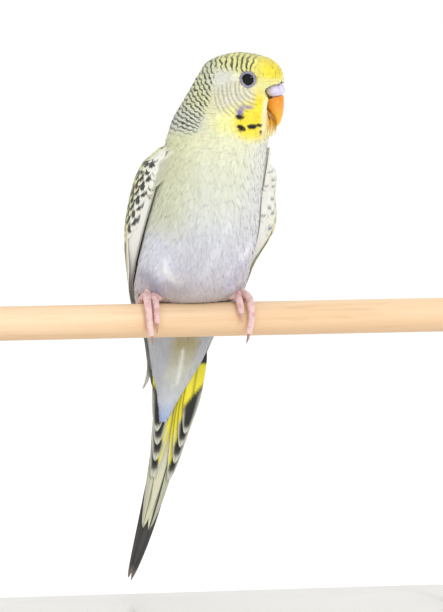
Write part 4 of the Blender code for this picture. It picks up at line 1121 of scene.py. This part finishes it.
def buildFace():
    # eyes, lids, cere, nostrils, and the bill's two halves as tubes of changing section along a curve
    eyeBlack = glossMaterial("wet cornea over a dark iris", "#020203", 0.03)
    lidSkin = skinMaterial("lavender grey lid skin", "#9894a4", "#6f6b80", 900.0)
    for name, side in (("right", 1), ("left", -1)):
        centre = headPoint(head["eye"] * (1, side, 1))
        points, faces = ellipsoid(centre, np.full(3, face["eyeRadius"]), np.eye(3))
        addPiece("eyeball_" + name, points, faces, eyeBlack, "eye", ("eye_" + name,))
        addPiece("lid_" + name, *lidGrid(side), lidSkin, "leg_skin")
    cereSkin = skinMaterial("smooth waxy cere", "#dcd6ea", "#c9c0de", 700.0, 0.42, 0.3)
    points, faces = ellipsoid(headPoint(face["cere"]), face["cereRadii"], headAxes, 60, 80, pinch)
    addPiece("cere_skin", points, faces, cereSkin, "cere_skin", ("cere",))
    rust = glossMaterial("rust-brown nostril lining", "#b5683a", 0.6)
    for name, side in (("right", 1), ("left", -1)):
        centre = headPoint(face["nostril"] * (1, side, 1) - (0.15, 0, 0.1))
        points, faces = ellipsoid(centre, np.full(3, face["nostrilRadius"]), np.eye(3), 12, 16)
        addPiece("nostril_" + name, points, faces, rust, "cere_skin")
    orange = hornMaterial("orange bill horn", "#e48a0c", "#ecb42c", 68.5, 79.5)
    brown = hornMaterial("brown lower bill horn", "#c98f3a", "#a8722c", 70, 76)
    for half, horn, slot in (("upper", orange, "bill_horn"), ("lower", brown, "lower_bill_horn")):
        table = smoothPath(face[half], 40)
        path = headPoint(np.column_stack([table[:, 0], 0 * table[:, 0], table[:, 1]]))
        points, faces = closedGrid(tube(path, table[:, 2:], 40, headAxes[1]))
        addPiece(f"bill_{half}_horn", points, faces, horn, slot, ("bill_" + half,))


chin = {"strands": 14, "halfWidth": 0.42, "thickness": 0.14, "root": "#d99a2a", "tip": "#efe2a0"}


def buildChin():
    # narrow golden strands hang from the chin behind the bill: lines in the head's own directions
    strands = Leaves(10, 5)
    for i in range(chin["strands"]):
        s = 2.9 - 5.8 * (i % 7) / 6
        start = np.array([11.3 + 0.7 * rng.random(), s, -9.8 - 1.2 * rng.random()])
        end = start + (0.5 - 1.6 * rng.random(), 0.15 * s, -4.4 - 2.6 * rng.random())

        def place(a, c, wide, start=start, end=end):
            # the line from start to end, bowed forwards by 0.4 sin(3 a), its width lying forwards
            line = start + (end - start) * a[..., None]
            line = line + np.array([1.0, 0, 0]) * (0.4 * np.sin(a * 3) + c * wide)[..., None]
            return headPoint(line), np.broadcast_to(headAxes[1], line.shape)

        strands.add(place, lambda a, c: blend(chin["root"], (smooth(a, 0.2, 0.9), chin["tip"])),
                    chin["halfWidth"], "point", chin["thickness"])
    strands.build("chin_strands", "head_plumage")


feet = {
    # middle line of each toe: inwards, back and up from the foot's place
    "toes": {
        "outer_front": ((0.5, 2.0, 8.9), (-1.3, -3.2, 8.1), (-1.7, -6.9, 4.6), (-1.5, -8.0, 0.0),
                        (-0.7, -7.6, -4.6)),
        "inner_front": ((0.8, 2.0, 8.8), (1.3, -3.4, 7.6), (1.2, -6.9, 3.8), (1.2, -7.7, -0.4)),
        "inner_back": ((1.0, -0.5, 8.9), (3.0, -1.0, 8.2), (4.8, 1.6, 7.7), (5.9, 5.4, 5.7),
                       (6.0, 7.7, 1.8)),
        "outer_back": ((-0.5, -0.5, 8.9), (-1.5, 2.0, 8.2), (-1.9, 5.4, 5.7), (-2.0, 7.8, 1.4),
                       (-1.8, 7.6, -2.6)),
    },
    # the left foot's inner front toe: back and up of its last three points, and how far in it stands
    "leftInner": ((-3.6, 7.5), (-6.4, 5.0), (-7.6, 2.4)), "leftInnerShift": 0.8,
    "shank": ((0.0, 0.8, 8.8), (0.8, 2.4, 11.4), (2.6, 4.6, 15.0)), "shankRadius": 1.7,
    "toeRadius": (1.4, 1.0), "scuteLength": 0.95, "clawRadius": 0.62,
}


def buildFeet():
    # each foot is a shank and four toes as tubes in one piece, with a claw as its own piece on every toe
    scaly = skinMaterial("pink scaled foot skin", "#e6c6c2", "#d4a8a6", 500.0, 0.5, 0.3)
    clawHorn = hornMaterial("pinkish claw horn", "#c9a08c", "#8d6a55", -12, 4)
    for name, side in (("right", 1), ("left", -1)):
        place = np.array([body["footX"][name], 0, 0])
        shank = smoothPath(place + np.array(feet["shank"]) * (side, 1, 1), 24)
        parts = [closedGrid(tube(shank, np.full((24, 2), feet["shankRadius"])))]
        for toe, path in feet["toes"].items():
            path = np.array(path)
            if toe == "inner_front" and name == "left":
                path[1:, 1:] = feet["leftInner"]
                path[:, 0] += feet["leftInnerShift"]
            path = smoothPath(place + path * (side, 1, 1), 24)
            fine = smoothPath(path, 120)
            # scutes: radius * (0.96 + 0.13 (1 - s) ^ 0.7) over each ring about 1 mm long
            scute = (runOf(fine) / feet["scuteLength"]) % 1.0
            radius = np.linspace(*feet["toeRadius"], 120)
            radius = radius * (0.96 + 0.13 * (1 - scute) ** 0.7 * smooth(scute, 0, 0.15))
            parts.append(closedGrid(tube(fine, np.column_stack([radius, radius]))))
            # claw: on along the toe and bent in towards the perch's axis, radius * (1 - t ^ 1.7)
            way = unit(path[-1] - path[-2])
            inward = np.array([0, -path[-1][1], 0]) / abs(path[-1][1])
            start = path[-1] - way * 0.2
            tip = path[-1] + way * 3.7 + inward * 1.0
            claw = smoothPath((start, start + way * 2.0 + inward * 0.1, tip), 30)
            wide = feet["clawRadius"] * (1 - np.linspace(0, 1, 30) ** 1.7) + 0.05
            points, faces = closedGrid(tube(claw, np.column_stack([wide, wide * 0.85]), 20))
            node = f"claw_{name}_{toe}"
            addPiece(node + "_horn", points, faces, clawHorn, "claw_horn", (node,))
        starts = np.cumsum([0] + [len(points) for points, _ in parts])
        addPiece("foot_" + name, np.concatenate([points for points, _ in parts]),
                 np.concatenate([faces + start for (_, faces), start in zip(parts, starts)]),
                 scaly, "leg_skin", ("leg_" + name,))


stand = {"perchChamfer": 0.7, "perchRounding": 0.05, "rodChamfer": 0.3, "boardCorner": 6.0, "boardEdge": 0.9}


def turned(profile, centre, axis, sides=96):
    # a profile of (along, radius) turned about the X or Z axis: (along, r cos t, r sin t)
    profile = np.asarray(profile, float)
    t = np.arange(sides) * 2 * np.pi / sides
    along, radius = profile[:, 0, None] + 0 * t, profile[:, 1, None]
    rings = np.stack([along, radius * np.cos(t), radius * np.sin(t)], -1)
    return closedGrid(np.roll(rings, 0 if axis == "X" else -1, axis=-1) + centre)


def nodeBox(node):
    # lower and upper corner of a node's box in millimetres from the perch
    return [np.array(corner) * 1000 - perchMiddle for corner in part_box(node)]


def buildPerch():
    # sanded softwood, turned along the grain: pale, with fine lines along it, and painted shade that darkens
    # its lower side
    # below and under bound the painted shade: it eases in from 1 mm above the axis to its most 6 mm below it
    below, under = ((perchMiddle[2] + z) / 1000 for z in (1.0, -6.0))
    tints = ((110.0, 2.0, 0.35, 0.7, 1.0, "#e6c197"), (520.0, 4.0, 0.52, 0.72, 0.4, "#cfa179"),
             (0, 0, below, under, 0.55, "#caa47c"))
    wood = layeredMaterial("sanded softwood dowel", "#f0d3ad", tints, {"Roughness": 0.55, "IOR": 1.5},
                           0.25, 0.00012, (0.06, 1.0, 1.0))
    half = (perchHigh - perchLow) / 2
    rounding, chamfer = stand["perchRounding"], stand["perchChamfer"]
    start = [-half[0], -half[0] + rounding, -half[0] + chamfer]
    along = np.concatenate([start, np.linspace(-half[0] + 2, half[0] - 2, 120), -np.array(start[::-1])])
    size = np.full(len(along), half[2] - 0.02)
    size[[0, 1, -2, -1]] = half[2] - chamfer
    size[[1, -2]] += rounding
    points, faces = turned(np.column_stack([along, size]), np.zeros(3), "X")
    addPiece("perch_dowel", points, faces, wood, "perch_wood", ("perch",), 35)


def buildStand():
    # two rods, and a board whose outline has round corners and whose edges are rounded above and below
    # drawn stainless rod, brushed along its length, so that highlights run lengthwise
    steel = layeredMaterial("brushed stainless rod", "#b9babc", ((4000.0, 2.0, 0.0, 1.0, 1.0, "#d0d1d3"),),
                            {"Metallic": 1.0, "Roughness": 0.32}, 0.1, 0.00002, (1.0, 1.0, 0.02))
    for name in ("left", "right"):
        low, high = nodeBox("stand_rod_" + name)
        r, _, h = (high - low) / 2
        c = stand["rodChamfer"]
        points, faces = turned([(-h, r - c), (-h + c, r), (h - c, r), (h, r - c)], (low + high) / 2, "Z", 48)
        addPiece("rod_" + name, points, faces, steel, "rod_steel", ("stand_rod_" + name,), 35)
    # satin white lacquer sprayed on board: faint orange peel softens what it reflects
    peel = ((900.0, 1.0, 0.3, 0.8, 1.0, "#e4e2dc"),)
    lacquer = layeredMaterial("satin white lacquered board", "#ebe9e4", peel,
                              {"Roughness": 0.38, "IOR": 1.5, "Coat Weight": 0.3}, 0.08, 0.00005)
    low, high = nodeBox("stand_base")
    corner, edge = stand["boardCorner"], stand["boardEdge"]
    t = np.linspace(0, np.pi / 2, 13)
    levels = [(edge, low[2])]
    levels += [(edge * (1 - np.sin(a)), low[2] + edge * (1 - np.cos(a))) for a in t[1::3]]
    levels += [(edge * (1 - np.cos(a)), high[2] - edge * (1 - np.sin(a))) for a in t[::3]]
    corners = ((high[0], high[1]), (low[0], high[1]), (low[0], low[1]), (high[0], low[1]))
    rings = []
    for inset, z in levels:
        ring = []
        for quarter, (cx, cy) in enumerate(corners):
            a = t + quarter * np.pi / 2
            sx, sy = np.sign(cx), np.sign(cy - (low[1] + high[1]) / 2)
            ring.append(np.stack([cx - sx * corner + (corner - inset) * np.cos(a),
                                  cy - sy * corner + (corner - inset) * np.sin(a), z + 0 * a], -1))
        rings.append(np.concatenate(ring))
    points, faces = closedGrid(rings)
    addPiece("base_board", points, faces, lacquer, "base_lacquer", ("stand_base",), 40)


# the photo's camera, found from the slope of the dowel: millimetres and pixels
view = {"turn": np.radians(-13.0), "rise": np.radians(5.0), "distance": 2200.0, "mmPerPixel": 0.3504,
        "height": 612, "perchRow": 319.15, "sensor": 36.0}


def buildCamera():
    # looks at the perch from its distance, raised so that the perch falls on its row of the picture
    a, e = view["turn"], view["rise"]
    right = np.array([np.cos(a), np.sin(a), 0])
    back = np.array([np.sin(a) * np.cos(e), -np.cos(a) * np.cos(e), np.sin(e)])
    up = np.cross(back, right)
    look = up * (view["perchRow"] - view["height"] / 2) * view["mmPerPixel"]
    place = (look + back * view["distance"] + perchMiddle) * 0.001
    data = bpy.data.cameras.new("camera")
    data.sensor_width = view["sensor"]
    data.lens = view["sensor"] * view["distance"] / (view["height"] * view["mmPerPixel"])
    data.clip_end = 100.0
    camera = bpy.data.objects.new("camera", data)
    bpy.context.scene.collection.objects.link(camera)
    camera.matrix_world = Matrix([*np.stack([right, up, back, place], 1).tolist(), [0, 0, 0, 1]])
    bpy.context.scene.camera = camera


studio = {
    "floorHalf": 30.0, "floorGlow": 0.17, "sky": 0.89, "aim": (0, 0, 0.12),
    # place in metres, size in metres, watts
    "lights": {"key": ((0.33, -1.48, 1.0), 0.35, 7.0), "fill": ((-0.9, -1.0, 0.7), 1.0, 1.0),
               "top": ((0.0, 0.3, 1.6), 1.0, 2.0)},
}


def buildStudio():
    # a wide pale floor under a white sky, and three area lights that face the bird
    half = studio["floorHalf"]
    mesh = bpy.data.meshes.new("studio_floor")
    corners = [(-half, -half, 0), (half, -half, 0), (half, half, 0), (-half, half, 0)]
    mesh.from_pydata(corners, [], [(0, 1, 2, 3)])
    floor = bpy.data.objects.new("studio_floor", mesh)
    bpy.context.scene.collection.objects.link(floor)
    # matt paper with a little light of its own, so that it stays white without a visible edge
    paper = {"Base Color": (0.93, 0.93, 0.93, 1), "Roughness": 0.9, "Emission Color": (1, 1, 1, 1),
             "Emission Strength": studio["floorGlow"]}
    mesh.materials.append(finishMaterial(newMaterial("pale matt studio floor"), paper))
    world = bpy.data.worlds.new("studio")
    world.use_nodes = True
    background = world.node_tree.nodes["Background"]
    background.inputs["Color"].default_value = (1, 1, 1, 1)
    background.inputs["Strength"].default_value = studio["sky"]
    bpy.context.scene.world = world
    for name, (place, size, power) in studio["lights"].items():
        data = bpy.data.lights.new(name, "AREA")
        data.size = size
        data.energy = power
        light = bpy.data.objects.new(name, data)
        bpy.context.scene.collection.objects.link(light)
        light.location = place
        light.rotation_euler = (Vector(place) - Vector(studio["aim"])).to_track_quat("Z", "Y").to_euler()
    bpy.context.scene.view_settings.view_transform = "Standard"


buildCamera()
buildStudio()
print("studio ready")
buildSkin()
buildCoat()
print("coat ready")
buildWing("wing_right", 1)
buildWing("wing_left", -1)
buildTail()
print("wings and tail ready")
buildFace()
buildChin()
buildFeet()
buildPerch()
buildStand()
print("stand ready")
